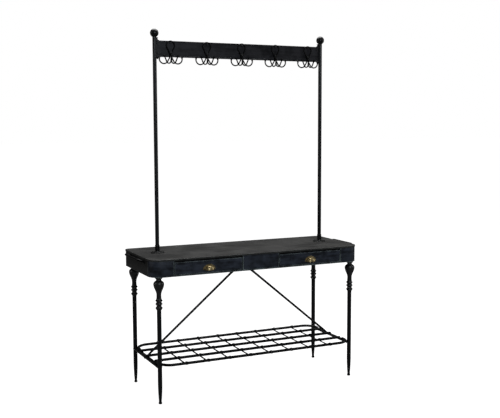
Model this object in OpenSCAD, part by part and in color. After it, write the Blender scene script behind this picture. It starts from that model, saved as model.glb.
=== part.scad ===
// Hall tree: a console table with two drawers on four turned legs, a wire shelf near the floor,
// and two posts that carry a rail of wire coat hooks. All of it is black steel and cast iron.
// Millimetres. X runs along the table, the drawers face -Y, and the floor is z = 0.
// The origin is the middle of the overall footprint, on the floor.

/* [Table] */
// Length of the table top
table_w = 1244; // [1040:4:1490]
// Depth of the table top
table_d = 470; // [400:10:570]
// Height of the table top above the floor
table_h = 760; // [640:10:920]
// Height of the apron below the top sheet
apron_h = 90; // [76:1:110]
// Thickness of the top sheet and of its folded rim
top_t = 2.5; // [1.5:0.1:3]
// Depth of the folded rim
rim_h = 9; // [7:0.5:12]
// Radius of the two front corners of the top
front_r = 65; // [54:1:78]
// Radius of the two back corners of the top
back_r = 30; // [20:1:40]
// Thickness of the apron sheet
sheet_t = 2; // [1.2:0.1:2.5]

/* [Drawers] */
// Width of the fixed panel between the drawers
centre_w = 216; // [180:2:260]
// Distance from the end of the table to the drawer opening
corner_w = 124; // [104:1:148]
// Gap round each drawer front
front_gap = 3; // [2:0.5:4]
// Thickness of a drawer front, a folded pan
front_t = 14; // [12:1:17]
// Height of a drawer tray
tray_h = 50; // [42:1:54]
// Length of a drawer tray from front to back
tray_d = 380; // [318:2:390]
// Gap between a tray and the upright leg of each runner
tray_gap = 10; // [8:1:12]
// Gap between a tray and the runners below it
slide_gap = 0.4; // [0.3:0.1:0.6]

/* [Cup pulls] */
// Width of the domed cup
cup_w = 58; // [48:1:68]
// Height and reach of the domed cup
cup_r = 24; // [20:1:28]
// Width of the flange round the cup
cup_flange = 6; // [5:0.5:8]

/* [Legs] */
// Distance from the end of the table to the leg axis
leg_inset_x = 48; // [40:1:57]
// Distance from the front or back of the table to the leg axis
leg_inset_y = 27; // [24:1:32]
// Outside diameter of a leg tube
leg_d = 23.5; // [20:0.5:26]
// Wall of the leg and post tubes
tube_wall = 2; // [1.2:0.1:2.5]
// Height of the turned casting above the tube
casting_h = 170; // [142:1:200]
// Largest diameter of the vase on the casting
vase_d = 56; // [47:1:66]
// Height of the tapered foot
taper_h = 106; // [90:1:126]
// Diameter of the foot pad
pad_d = 18; // [15:0.5:21]

/* [Shelf] */
// Height of the shelf rods' centre lines
shelf_z = 204; // [170:1:244]
// Diameter of a shelf rod
rod_d = 15; // [12.5:0.5:18]
// Bend radius at the shelf corners, to the rod's centre line
shelf_r = 70; // [58:1:84]
// Distance of the front and back rods outside the leg axes
shelf_out = 20; // [19.5:0.5:24]
// Number of flat strips across the shelf
strips = 8; // [6:1:9]
// Distance between two strips
strip_pitch = 124; // [104:1:134]
// Width of a strip
strip_w = 11; // [9:0.5:13.5]
// Thickness of a strip
strip_t = 2.5; // [1.5:0.1:3]
// Width of the flat bar from a front leg to a back leg
bar_w = 28; // [24:1:33]
// Thickness of that bar
bar_t = 5; // [4:0.5:6]
// Diameter of a brace rod
brace_d = 12.5; // [10.5:0.5:15]

/* [Posts and rail] */
// Distance between the two post axes
post_pitch = 1004; // [840:4:1080]
// Diameter of a post
post_d = 21; // [17.5:0.5:25]
// Distance of the posts behind the middle of the table
post_back = 15; // [0:1:30]
// Height of the ball centres above the floor
ball_z = 1926; // [1700:2:2100]
// Diameter of a ball finial
ball_d = 45; // [38:1:54]
// Diameter of a post flange
flange_d = 74; // [66:1:86]
// Height of the socket on a post flange
socket_h = 42; // [35:1:50]
// Height of the hook rail
rail_h = 86; // [76:1:100]
// Distance from the ball centres down to the top of the rail
rail_drop = 38; // [34:1:46]

/* [Hooks] */
// Distance between two hooks
hook_pitch = 207.5; // [174:0.5:212]
// Diameter of the hook wire
wire_d = 7; // [6:0.5:8]
// Radius of the loop over the rail, to the wire's centre line
loop_r = 22.5; // [19:0.5:26]
// Radius of the two side prongs
prong_r = 25; // [21:0.5:30]

/* [Towel bars] */
// Distance between the two arms of a bar
towel_w = 224; // [188:2:270]
// Reach of the bar from the side panel
towel_reach = 36; // [33:1:43]
// Diameter of the bar
towel_d = 12; // [10:0.5:14]

/* [Hidden] */
$fn = 64;

LEFT = -1;
RIGHT = 1;
FRONT = -1;
BACK = 1;
fit = 0.1;          // radial clearance of a fixed pin, tube or screw in its hole
screw_d = 4;        // shank of the small screws
pull_screw_d = 3;   // shank of the screws in the cup pulls
hooks = 5;
bolt_d = 6;         // shank of the frame bolts

// The cup pulls reach further out than the back does, so the table's middle sits behind the origin.
table_y = (cup_r - top_t) / 2;

// Apron: it stands inside the rim of the top.
apron_x = table_w / 2 - top_t;
apron_y = table_d / 2 - top_t;
apron_top = table_h - top_t;
apron_bottom = apron_top - apron_h;
side_front_y = -(table_d / 2 - front_r);
side_back_y = table_d / 2 - back_r - 32;
open_in = centre_w / 2;
open_out = table_w / 2 - corner_w;
open_mid = (open_in + open_out) / 2;
open_low = apron_bottom + 5;
open_high = table_h - rim_h - 7;
return_d = 28;      // depth of the folded returns beside the drawer openings
lip_d = 40;         // depth of the bottom flanges
back_lip_x = open_out - 4;   // the back's flange stops short of the leg plates

// Drawers
front_w = open_out - open_in - 2 * front_gap;
front_low = open_low + front_gap - 0.5;
front_high = open_high - front_gap + 0.5;
runner_w = 28;
runner_h = 24;
tray_low = open_low + 6;
tray_w = open_out - open_in - 2 * sheet_t - 2 * tray_gap;
tray_front = -apron_y + front_t;
pull_z = (front_low + front_high) / 2 - 10;
flange_t = 1.6;
ear_x = cup_w / 2 + 1;
cup_rise = 7;       // height of the pull's screws above its lower edge

// Legs
leg_x = table_w / 2 - leg_inset_x;
leg_y = table_d / 2 - leg_inset_y;
pad_h = 12;
foot_tip_d = 14;
socket_depth = 14;
tube_top = apron_bottom - casting_h;
plate_t = 3;
seat_h = 9;         // stepped round seat at the top of a casting
leg_screw_r = 9;    // circle of the screws that hold a casting

ring_r = 4;
RINGS = [10, 31, 49];
// The vase: share of the casting's height, and share of its swell from the stem to the widest part.
VASE = [[0.49, 0], [0.529, 0.11], [0.576, 0.29], [0.618, 0.5], [0.665, 0.71], [0.712, 0.87],
        [0.753, 0.97], [0.783, 1], [0.812, 0.96], [0.842, 0.82], [0.865, 0.6], [0.885, 0.34],
        [0.9, 0.12], [0.91, 0]];

// Shelf
rod_r = rod_d / 2;
bar_top = shelf_z - rod_r;
shelf_y = leg_y + shelf_out;
rod_pitch = shelf_y / 2;
rod_end_x = leg_x - 5;
landing = 14;       // straight end of a bent rod that lies on the side bar

// Braces
brace_y = post_back + 2;
tab_t = 4;
brace_foot_x = leg_x - 4;
brace_top_z = apron_bottom - 14;
brace_bolt_x = leg_x + 7;
eye_w = 40;         // flattened head of a brace
eye_h = 26;
brace_foot_w = 28;  // flattened foot of a brace
head_x = 27;        // where the round rod ends, beside the middle bolt

// Posts and rail
post_x = post_pitch / 2;
flange_h = 4;
post_top = ball_z - 20;
post_foot = table_h + flange_h;
rail_top = ball_z - rail_drop;
rail_bottom = rail_top - rail_h;
web_t = 3;
bead_t = 2.5;
bead_h = 8;
rail_back_y = post_back;
rail_face_y = rail_back_y - web_t - bead_t;
bracket_t = 3;
bracket_w = 22;
flange_screw_r = flange_d / 2 - 9;

// Hooks
wire_r = wire_d / 2;
wire_y = rail_face_y - wire_r;
loop_z = rail_top + 2 - wire_r - loop_r;
neck_z = rail_bottom + 9;
prong_x = 39;
prong_z = rail_bottom - 9;
tip_d = wire_d + 3;
knot_d = wire_d + 9;
layer = wire_d + 0.5;   // the inner prongs lie this far in front of the side prongs
inner_x = 14;       // bend of an inner prong, and its tip
inner_z = rail_bottom - 20;
inner_r = 12;
inner_tip = [38, rail_bottom + 6];

// Towel bars
towel_tilt = 18;
towel_z = table_h - 22;
rose_d = 26;
rose_t = 4;

function turn_angle(u, v) = atan2(u.x * v.y - u.y * v.x, u.x * v.x + u.y * v.y);
function heading(u) = atan2(u.y, u.x);
function leg_at(side, end) = [side * leg_x, end * leg_y];

// Everything is drawn about the middle of the table and then put in the overall frame.
module set_out() {
    translate([0, table_y, 0]) children();
}

// A straight round rod between two points.
module rod_between(a, b, d) {
    v = b - a;
    translate(a)
        rotate([0, acos(v.z / norm(v)), atan2(v.y, v.x)])
            cylinder(h = norm(v), d = d);
}

// The same rod a hair thinner, running a little way into the bend that it meets at b.
module spigot_rod(a, b, d) {
    rod_between(a, b + (b - a) / norm(b - a) * 0.4, d - 0.03);
}

// A round rod bent in the XY plane: straight between the points, with radius r at each inner point.
module bent_rod(pts, r, d) {
    n = len(pts);
    dirs = [for (i = [0 : n - 2]) (pts[i + 1] - pts[i]) / norm(pts[i + 1] - pts[i])];
    cut = [for (i = [0 : n - 1])
        (i == 0 || i == n - 1) ? 0 : r * tan(abs(turn_angle(dirs[i - 1], dirs[i])) / 2)];
    for (i = [0 : n - 2]) {
        a = pts[i] + dirs[i] * cut[i];
        b = pts[i + 1] - dirs[i] * cut[i + 1];
        rod_between([a.x, a.y, 0], [b.x, b.y, 0], d);
    }
    for (i = [1 : n - 2]) {
        turn = turn_angle(dirs[i - 1], dirs[i]);
        side = sign(turn);
        start = pts[i] - dirs[i - 1] * cut[i];
        centre = start + side * r * [-dirs[i - 1].y, dirs[i - 1].x];
        first = heading(dirs[i - 1]) - side * 90 + min(turn, 0);
        translate([centre.x, centre.y, 0])
            rotate([0, 0, first])
                rotate_extrude(angle = abs(turn)) translate([r, 0]) circle(d = d);
    }
}

// A screw along +Z: a flat round head below z = 0 and a shank above it.
module screw(head_d, head_h, shank_d, shank_l) {
    translate([0, 0, -head_h]) cylinder(h = head_h, d = head_d);
    cylinder(h = shank_l, d = shank_d);
}

// Plan of the top, moved inwards by inset.
module plan(inset) {
    x = table_w / 2 - inset;
    y = table_d / 2 - inset;
    fr = front_r - inset;
    br = back_r - inset;
    union() {
        for (s = [LEFT, RIGHT]) {
            translate([s * (x - fr), -(y - fr)]) circle(r = fr);
            translate([s * (x - br), y - br]) circle(r = br);
        }
        translate([-(x - fr), -y]) square([2 * (x - fr), 2 * y - br]);
        translate([-x, -(y - fr)]) square([2 * x, 2 * y - fr - br]);
        translate([-(x - br), 0]) square([2 * (x - br), y]);
    }
}

// One wall of apron sheet that follows the plan, kept inside a rectangle given by two corners.
module apron_wall(low, high) {
    translate([0, 0, apron_bottom])
        linear_extrude(apron_h)
            intersection() {
                difference() {
                    plan(top_t);
                    plan(top_t + sheet_t);
                }
                translate(low) square(high - low);
            }
}

// ---- Table ----

module top_panel() {
    set_out() color("#2f2e2c") difference() {
        union() {
            translate([0, 0, apron_top]) linear_extrude(top_t) plan(0);
            translate([0, 0, table_h - rim_h])
                linear_extrude(rim_h)
                    difference() {
                        plan(0);
                        plan(top_t);
                    }
        }
        for (s = [LEFT, RIGHT])
            translate([s * post_x, post_back, 0])
                ring_of_screws(apron_top - 1) cylinder(h = top_t + 2, d = screw_d + 2 * fit);
    }
}

module side_panel(side) {
    hole_y = towel_w / 2;
    color("#1f1e1d") difference() {
        union() {
            apron_wall([side > 0 ? apron_x - sheet_t : -apron_x, side_front_y],
                       [side > 0 ? apron_x : sheet_t - apron_x, side_back_y]);
            // folded lip along the bottom edge
            translate([side > 0 ? apron_x - sheet_t - 12 : -apron_x + sheet_t,
                       -leg_y + 60, apron_bottom])
                cube([12, 2 * leg_y - 120, sheet_t]);
        }
        for (e = [FRONT, BACK])
            translate([side * (apron_x - sheet_t / 2), e * hole_y, towel_z])
                rotate([0, 90, 0])
                    cylinder(h = 3 * sheet_t, d = towel_d + 2 * fit, center = true);
    }
}

module back_panel() {
    set_out() color("#1f1e1d") {
        apron_wall([-apron_x, side_back_y], [apron_x, apron_y]);
        translate([-back_lip_x, apron_y - sheet_t - lip_d, apron_bottom])
            cube([2 * back_lip_x, lip_d, sheet_t]);
    }
}

module corner_front(side) {
    jamb_x = side > 0 ? open_out : -open_out - sheet_t;
    color("#191b20") {
        apron_wall([side > 0 ? open_out : -apron_x, -apron_y],
                   [side > 0 ? apron_x : -open_out, side_front_y]);
        translate([jamb_x, -apron_y, apron_bottom]) cube([sheet_t, return_d, apron_h]);
    }
}

module front_centre_panel() {
    low = apron_bottom + 5;
    set_out() color("#191b20") {
        translate([-open_in, -apron_y, low]) cube([centre_w, sheet_t, apron_top - low]);
        for (s = [LEFT, RIGHT])
            translate([s > 0 ? open_in - 2 * sheet_t : -open_in + sheet_t, -apron_y, low])
                cube([sheet_t, return_d, open_high - low]);
    }
}

module front_top_rail() {
    y = -apron_y + sheet_t;
    set_out() color("#111214") {
        translate([-open_out, y, open_high]) cube([2 * open_out, sheet_t, apron_top - open_high]);
        translate([-open_out, y, apron_top - sheet_t]) cube([2 * open_out, 20, sheet_t]);
    }
}

module front_bottom_rail() {
    set_out() color("#15171b") {
        translate([-open_out, -apron_y, apron_bottom]) cube([2 * open_out, sheet_t, open_low - apron_bottom]);
        translate([-open_out, -apron_y, apron_bottom]) cube([2 * open_out, lip_d, sheet_t]);
    }
}

module divider(side) {
    y = -apron_y + 2 * sheet_t;
    low = apron_bottom + sheet_t;
    color("#1b1b1b")
        translate([side > 0 ? open_in - sheet_t : -open_in, y, low])
            cube([sheet_t, apron_y - sheet_t - y, apron_top - sheet_t - low]);
}

// An angle runner, its upright leg towards -X, from the front jamb to the back wall.
module runner() {
    y = tray_front + 1;
    length = apron_y - sheet_t - y;
    top = tray_low - slide_gap;
    translate([0, y, top - sheet_t]) cube([runner_w, length, sheet_t]);
    translate([0, y, top - sheet_t]) cube([sheet_t, length, runner_h]);
}

module drawer_runners() {
    set_out() color("#8a8a86")
        for (s = [LEFT, RIGHT])
            on_side(s) {
                translate([open_in, 0, 0]) runner();
                translate([open_out, 0, 0]) mirror([1, 0, 0]) runner();
            }
}

module on_side(s) {
    mirror([s < 0 ? 1 : 0, 0, 0]) children();
}

module leg_mounting_plates() {
    inset = top_t + sheet_t;
    plate_in = open_out + sheet_t;
    set_out() color("#2a2a2a")
        for (s = [LEFT, RIGHT], e = [FRONT, BACK])
            difference() {
                translate([0, 0, apron_bottom])
                    linear_extrude(plate_t)
                        intersection() {
                            plan(inset);
                            translate([s > 0 ? plate_in : -apron_x, e > 0 ? leg_y - 54 : -apron_y])
                                square([apron_x - plate_in, apron_y - leg_y + 54]);
                        }
                translate([s * leg_x, e * leg_y, 0])
                    leg_screw_places(apron_bottom - 1) cylinder(h = plate_t + 2, d = screw_d + 2 * fit);
            }
}

// A flat bar across the underside of the apron, with a hanging tab for the two braces.
module brace_cross_bar() {
    z = apron_bottom + sheet_t;
    w = 30;
    set_out() color("#202020") difference() {
        union() {
            translate([-w / 2, -apron_y + sheet_t, z])
                cube([w, 2 * (apron_y - sheet_t), tab_t]);
            translate([-w / 2, brace_y - tab_t / 2, brace_top_z - 12])
                cube([w, tab_t, z - brace_top_z + 13]);
        }
        translate([0, brace_y, brace_top_z])
            rotate([90, 0, 0]) cylinder(h = 3 * tab_t, d = bolt_d + 2 * fit, center = true);
    }
}

// ---- Drawers ----

module drawer_front(side) {
    x = side * open_mid;
    color("#191d25") difference() {
        translate([x - front_w / 2, -apron_y, front_low])
            cube([front_w, front_t, front_high - front_low]);
        translate([x - front_w / 2 + sheet_t, -apron_y + sheet_t, front_low + sheet_t])
            cube([front_w - 2 * sheet_t, front_t, front_high - front_low - 2 * sheet_t]);
        for (s = [LEFT, RIGHT])
            translate([x + s * ear_x, -apron_y, pull_z])
                rotate([90, 0, 0]) cylinder(h = 4 * sheet_t, d = pull_screw_d + 2 * fit, center = true);
    }
}

module drawer_tray(side) {
    x = side * open_mid - tray_w / 2;
    color("#77756f") difference() {
        translate([x, tray_front, tray_low]) cube([tray_w, tray_d, tray_h]);
        translate([x + sheet_t, tray_front + sheet_t, tray_low + sheet_t])
            cube([tray_w - 2 * sheet_t, tray_d - 2 * sheet_t, tray_h]);
    }
}

// A domed cup, a quarter of a body turned about the X axis, and the plate it stands on.
module cup_body(w, r) {
    arc_r = (w * w / 4 + r * r) / (2 * r);
    rotate([0, 90, 0])
        rotate([0, 0, 180])
            rotate_extrude(angle = 90)
                intersection() {
                    translate([r - arc_r, 0]) circle(r = arc_r, $fn = 96);
                    translate([0, -w / 2]) square([r, w]);
                }
}

module cup_plate(w, r) {
    arc_r = (w * w / 4 + r * r) / (2 * r);
    rotate([90, 0, 0])
        linear_extrude(flange_t)
            intersection() {
                translate([0, r - arc_r]) circle(r = arc_r, $fn = 96);
                translate([-w / 2, 0]) square([w, r]);
            }
}

module cup_pull(side) {
    wall = 1.5;
    color("#b08a45")
        translate([side * open_mid, -apron_y, pull_z - cup_rise])
            difference() {
                union() {
                    cup_plate(cup_w + 2 * cup_flange, cup_r + cup_flange);
                    cup_body(cup_w, cup_r);
                }
                translate([0, 1, -0.5]) cup_body(cup_w - 2 * wall, cup_r - wall + 0.5);
                for (s = [LEFT, RIGHT])
                    translate([s * ear_x, 0, cup_rise])
                        rotate([90, 0, 0])
                            cylinder(h = 10, d = pull_screw_d + 2 * fit, center = true);
            }
}

module pull_screws(side) {
    color("#c2a055")
        for (s = [LEFT, RIGHT])
            translate([side * open_mid + s * ear_x, -apron_y - flange_t, pull_z])
                rotate([-90, 0, 0]) screw(5.4, 1.6, pull_screw_d, 9);
}

// ---- Legs ----

module leg_screw_places(z) {
    for (a = [0 : 90 : 270])
        rotate([0, 0, a]) translate([leg_screw_r, 0, z]) children();
}

// Outline of the casting: half-width against height, a stepped seat, a vase and three rings.
module casting_outline() {
    r = leg_d / 2 + 1.5;
    swell = vase_d / 2 - r;
    union() {
        square([r, casting_h]);
        translate([0, casting_h - seat_h / 2]) square([20, seat_h / 2]);
        translate([0, casting_h - seat_h]) square([17, seat_h]);
        polygon([[0, 0.49 * casting_h], for (v = VASE) [r + v[1] * swell, v[0] * casting_h],
                 [0, 0.91 * casting_h]]);
        for (z = RINGS)
            translate([r + 1.25, z]) circle(r = ring_r);
        square([r + 1.5, 5]);
    }
}

module leg_casting(side, end) {
    color("#0f0f10")
        translate([side * leg_x, end * leg_y, tube_top])
            difference() {
                rotate_extrude($fn = 72)
                    intersection() {
                        casting_outline();
                        square([vase_d, casting_h]);
                    }
                translate([0, 0, -1]) cylinder(h = socket_depth + 1, d = leg_d + 2 * fit);
                leg_screw_places(casting_h - seat_h + 1) cylinder(h = seat_h, d = screw_d + 2 * fit);
            }
}

module leg_tube(side, end) {
    r = leg_d / 2;
    top = tube_top + socket_depth;
    knee = pad_h + taper_h;
    color("#121213")
        translate([side * leg_x, end * leg_y, 0])
            rotate_extrude($fn = 72)
                polygon([[0, pad_h], [foot_tip_d / 2, pad_h], [r, knee], [r, top],
                         [r - tube_wall, top], [r - tube_wall, knee], [0, knee]]);
}

module foot_pads() {
    set_out() color("#0b0b0b")
        for (s = [LEFT, RIGHT], e = [FRONT, BACK])
            translate([s * leg_x, e * leg_y, 0])
                rotate_extrude($fn = 48)
                    polygon([[0, 0], [pad_d / 2 - 1, 0], [pad_d / 2, 1.5], [pad_d / 2, pad_h - 4],
                             [foot_tip_d / 2, pad_h], [0, pad_h]]);
}

module leg_screws() {
    set_out() color("#606060")
        for (s = [LEFT, RIGHT], e = [FRONT, BACK])
            translate([s * leg_x, e * leg_y, 0])
                leg_screw_places(apron_bottom + plate_t)
                    rotate([180, 0, 0]) screw(7, 2.5, screw_d, plate_t + seat_h - 2);
}

// ---- Shelf and braces ----

// A shelf rod with both ends bent back over the side bars.
module shelf_bent_rod(end) {
    x = leg_x - 6;
    y = end * shelf_y;
    back = end * (shelf_y - shelf_r - landing);
    color("#101011")
        translate([0, 0, shelf_z])
            bent_rod([[-x, back], [-x, y], [x, y], [x, back]], shelf_r, rod_d);
}

module shelf_inner_rods() {
    set_out() color("#101011")
        for (k = [-1, 0, 1])
            rod_between([-rod_end_x, k * rod_pitch, shelf_z], [rod_end_x, k * rod_pitch, shelf_z], rod_d);
}

// An arch of the given radius with straight feet, centred on a rod and standing level with its underside.
module arch(r) {
    circle(r = r);
    translate([-r, -rod_r]) square([2 * r, rod_r]);
}

// Side view of a strip: it runs level with the rods' undersides and is pressed over each rod.
module strip_outline() {
    outer = rod_r + strip_t;
    difference() {
        union() {
            translate([-shelf_y - outer, -rod_r]) square([2 * (shelf_y + outer), strip_t]);
            for (k = [-2 : 2])
                translate([k * rod_pitch, 0])
                    intersection() {
                        arch(outer);
                        translate([-outer, -rod_r]) square([2 * outer, rod_r + outer]);
                    }
        }
        for (k = [-2 : 2])
            translate([k * rod_pitch, 0]) {
                circle(r = rod_r + fit);
                translate([-rod_r - fit, -rod_r - 1]) square([2 * (rod_r + fit), rod_r + 1]);
            }
    }
}

module shelf_cross_strips() {
    set_out() color("#161616")
        for (i = [0 : strips - 1])
            translate([(i - (strips - 1) / 2) * strip_pitch + strip_w / 2, 0, shelf_z])
                rotate([90, 0, -90]) linear_extrude(strip_w) mirror([1, 0, 0]) strip_outline();
}

module shelf_side_bar(side) {
    color("#1c1c1c")
        difference() {
            translate([side * leg_x - bar_w / 2, -leg_y, bar_top - bar_t])
                cube([bar_w, 2 * leg_y, bar_t]);
            for (e = [FRONT, BACK])
                translate([side * leg_x, e * leg_y, bar_top - bar_t - 1])
                    cylinder(h = bar_t + 2, d = leg_d);
            translate([side * brace_bolt_x, brace_y, bar_top - bar_t - 1])
                cylinder(h = bar_t + 2, d = bolt_d + 2 * fit);
        }
}

// A brace: a rod from the shelf's side bar up to the tab under the table, both ends pressed flat.
module brace(side) {
    y = brace_y + side * tab_t;
    foot = [side * brace_foot_x, brace_y, bar_top + tab_t];
    head = [side * head_x, y, brace_top_z - 3];
    color("#191919") difference() {
        union() {
            rod_between(foot, head, brace_d);
            translate([side * leg_x - brace_foot_w / 2, brace_y - 8, bar_top]) cube([brace_foot_w, 16, tab_t]);
            translate([side * 12 - eye_w / 2, y - tab_t / 2, brace_top_z - 12]) cube([eye_w, tab_t, eye_h]);
        }
        // the foot lies flat on the side bar
        translate([side * leg_x - 50, brace_y - 50, bar_top - 50]) cube([100, 100, 50]);
        translate([side * brace_bolt_x, brace_y, bar_top - 1])
            cylinder(h = tab_t + 2, d = bolt_d + 2 * fit);
        translate([0, brace_y, brace_top_z])
            rotate([90, 0, 0]) cylinder(h = 60, d = bolt_d + 2 * fit, center = true);
        // the head lies flat on the tab
        translate([-50, side > 0 ? brace_y + tab_t / 2 - 30 : brace_y - tab_t / 2, brace_top_z - 60])
            cube([100, 30, 120]);
    }
}

module brace_bolts() {
    stack = 3 * tab_t;
    set_out() color("#6a6a6a") {
        for (s = [LEFT, RIGHT])
            translate([s * brace_bolt_x, brace_y, bar_top + tab_t])
                rotate([180, 0, 0]) {
                    screw(11, 4, bolt_d, tab_t + bar_t + 7);
                    translate([0, 0, tab_t + bar_t]) difference() {
                        cylinder(h = 5, d = 11, $fn = 6);
                        translate([0, 0, -1]) cylinder(h = 7, d = bolt_d);
                    }
                }
        translate([0, brace_y - stack / 2, brace_top_z])
            rotate([-90, 0, 0]) {
                screw(11, 4, bolt_d, stack + 7);
                translate([0, 0, stack]) difference() {
                    cylinder(h = 5, d = 11, $fn = 6);
                    translate([0, 0, -1]) cylinder(h = 7, d = bolt_d);
                }
            }
    }
}

// ---- Posts and rail ----

module ring_of_screws(z) {
    for (a = [45 : 90 : 315])
        rotate([0, 0, a]) translate([flange_screw_r, 0, z]) children();
}

module hook_post(side) {
    color("#131314")
        translate([side * post_x, post_back, post_foot])
            difference() {
                cylinder(h = post_top - post_foot, d = post_d);
                translate([0, 0, -1])
                    cylinder(h = post_top - post_foot + 2, d = post_d - 2 * tube_wall);
            }
}

module post_flange(side) {
    r = post_d / 2 + fit;
    color("#111112")
        translate([side * post_x, post_back, table_h])
            difference() {
                rotate_extrude($fn = 72)
                    polygon([[0, 0], [flange_d / 2, 0], [flange_d / 2, flange_h - 1.5],
                             [flange_d / 2 - 2, flange_h], [r + 7, flange_h], [r + 4, flange_h + 2], [r + 2.6, flange_h + 7],
                             [r + 2, socket_h - 2], [r + 1.2, socket_h], [0, socket_h]]);
                translate([0, 0, flange_h]) cylinder(h = socket_h, r = r);
                ring_of_screws(-1) cylinder(h = flange_h + 3, d = screw_d + 2 * fit);
            }
}

module flange_screws() {
    set_out() color("#3a3a3a")
        for (s = [LEFT, RIGHT])
            translate([s * post_x, post_back, table_h + flange_h])
                ring_of_screws(0) rotate([180, 0, 0]) screw(8, 2.2, screw_d, flange_h + top_t + 8);
}

module ball_finial(side) {
    color("#0e0e0f")
        translate([side * post_x, post_back, 0]) {
            difference() {
                translate([0, 0, ball_z]) sphere(d = ball_d, $fn = 96);
                translate([0, 0, post_top - 50]) cylinder(h = 50, d = ball_d);
            }
            translate([0, 0, post_top - 16]) cylinder(h = 17, d = post_d - 2 * tube_wall - 2 * fit);
        }
}

module rail_bolt_places() {
    for (s = [LEFT, RIGHT], z = [rail_bottom + 20, rail_top - 20])
        translate([s * (post_x - post_d / 2 - 12), 0, z]) children();
}

module hook_rail() {
    end = post_x - post_d / 2 - 1;
    set_out() color("#232323")
        difference() {
            union() {
                translate([-end, rail_back_y - web_t, rail_bottom]) cube([2 * end, web_t, rail_h]);
                for (z = [rail_bottom, rail_top - bead_h])
                    translate([-end, rail_face_y, z]) cube([2 * end, bead_t + 0.5, bead_h]);
            }
            rail_bolt_places() translate([0, rail_back_y, 0])
                rotate([90, 0, 0]) cylinder(h = 4 * web_t, d = bolt_d + 2 * fit, center = true);
            hook_places() hook_screw_places() translate([0, rail_back_y, 0])
                rotate([90, 0, 0]) cylinder(h = 4 * web_t, d = screw_d + 2 * fit, center = true);
        }
}

// A plate behind the rail's end, welded to the post, with a pointed ear above and below the rail.
module rail_bracket(side) {
    x0 = post_x - post_d / 2 - bracket_w;
    color("#141414") difference() {
        translate([0, rail_back_y + bracket_t, 0])
            rotate([90, 0, 0])
                linear_extrude(bracket_t)
                    mirror([side < 0 ? 1 : 0, 0])
                        polygon([[x0, rail_bottom + 4], [post_x - post_d / 2 - 12, rail_bottom - 2],
                                 [post_x - post_d / 2 - 9, rail_bottom - 12], [post_x, rail_bottom - 5],
                                 [post_x, rail_top + 20], [post_x - post_d / 2 - 11, rail_top + 15],
                                 [post_x - post_d / 2 - 6, rail_top + 8], [x0, rail_top - 4]]);
        translate([side * post_x, post_back, rail_bottom - 50]) cylinder(h = rail_h + 100, d = post_d);
        rail_bolt_places() translate([0, rail_back_y, 0])
            rotate([90, 0, 0]) cylinder(h = 4 * bracket_t, d = bolt_d + 2 * fit, center = true);
    }
}

module rail_bolts() {
    stack = web_t + bracket_t;
    set_out() color("#4a4a4a")
        rail_bolt_places() translate([0, rail_back_y - web_t, 0])
            rotate([-90, 0, 0]) {
                screw(10, 2.4, bolt_d, stack + 6);
                translate([0, 0, stack]) difference() {
                    cylinder(h = 4.5, d = 11, $fn = 6);
                    translate([0, 0, -1]) cylinder(h = 7, d = bolt_d);
                }
            }
}

// ---- Hooks ----

module hook_places() {
    for (i = [0 : hooks - 1])
        translate([(i - (hooks - 1) / 2) * hook_pitch, 0, 0]) children();
}

module hook_screw_places() {
    for (z = [loop_z + loop_r - wire_r - 3.2, neck_z + 17])
        translate([0, 0, z]) children();
}

// A straight wire from the knot to a bend of radius r about a centre, with the bend up to angle last.
module wire_arc(centre, r, last) {
    gap = norm(centre);
    aim = atan2(centre.y, centre.x) - asin(r / gap);
    joint = sqrt(gap * gap - r * r) * [cos(aim), sin(aim), 0];
    first = atan2(joint.y - centre.y, joint.x - centre.x);
    spigot_rod(joint / norm(joint) * knot_d / 5, joint, wire_d);
    translate([centre.x, centre.y, 0])
        rotate([0, 0, first])
            rotate_extrude(angle = last - first) translate([r, 0]) circle(d = wire_d);
}

// The wire against the rail, drawn in XY about the knot: a loop over the rail and a prong on each hand.
module wall_wire() {
    reach = loop_z - neck_z;
    lean = asin(loop_r / reach);
    shoulder = [loop_r * cos(lean), reach - loop_r * sin(lean), 0];
    last = 26;
    bead_lift = (tip_d - wire_d) / 2 + 0.3;
    translate([0, reach, 0])
        rotate([0, 0, -lean])
            rotate_extrude(angle = 180 + 2 * lean) translate([loop_r, 0]) circle(d = wire_d);
    for (s = [LEFT, RIGHT])
        on_side(s) {
            spigot_rod(shoulder / norm(shoulder) * knot_d / 5, shoulder, wire_d);
            wire_arc([prong_x, prong_z - neck_z], prong_r, last);
            translate([prong_x, prong_z - neck_z, bead_lift])
                rotate([0, 0, last]) translate([prong_r, 0, 0]) sphere(d = tip_d);
        }
}

// The two inner prongs, one layer in front: a tight bend below the knot and a straight rise to the tip.
module inner_wire() {
    centre = [inner_x, inner_z - neck_z];
    tip = [inner_tip.x, inner_tip.y - neck_z];
    rise = tip - centre;
    gap = norm(rise);
    last = atan2(rise.y, rise.x) - acos(inner_r / gap);
    leave = centre + inner_r * [cos(last), sin(last)];
    for (s = [LEFT, RIGHT])
        on_side(s) {
            wire_arc(centre, inner_r, last);
            spigot_rod([tip.x, tip.y, 0], [leave.x, leave.y, 0], wire_d);
            translate([tip.x, tip.y, 0]) sphere(d = tip_d);
        }
}

module hook(i) {
    set_out() color("#080808")
        translate([(i - 1 - (hooks - 1) / 2) * hook_pitch, wire_y, neck_z])
            rotate([90, 0, 0]) {
                wall_wire();
                translate([0, 0, layer]) inner_wire();
                translate([0, 0, knot_d / 2 - wire_r + 0.1]) sphere(d = knot_d);
            }
}

module hook_screws() {
    set_out() color("#2a2a2a")
        hook_places() hook_screw_places()
            translate([0, rail_face_y - wire_d, 0])
                rotate([-90, 0, 0]) screw(11, 2.2, screw_d, wire_d + bead_t + web_t + 5);
}

// ---- Towel bars ----

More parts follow.
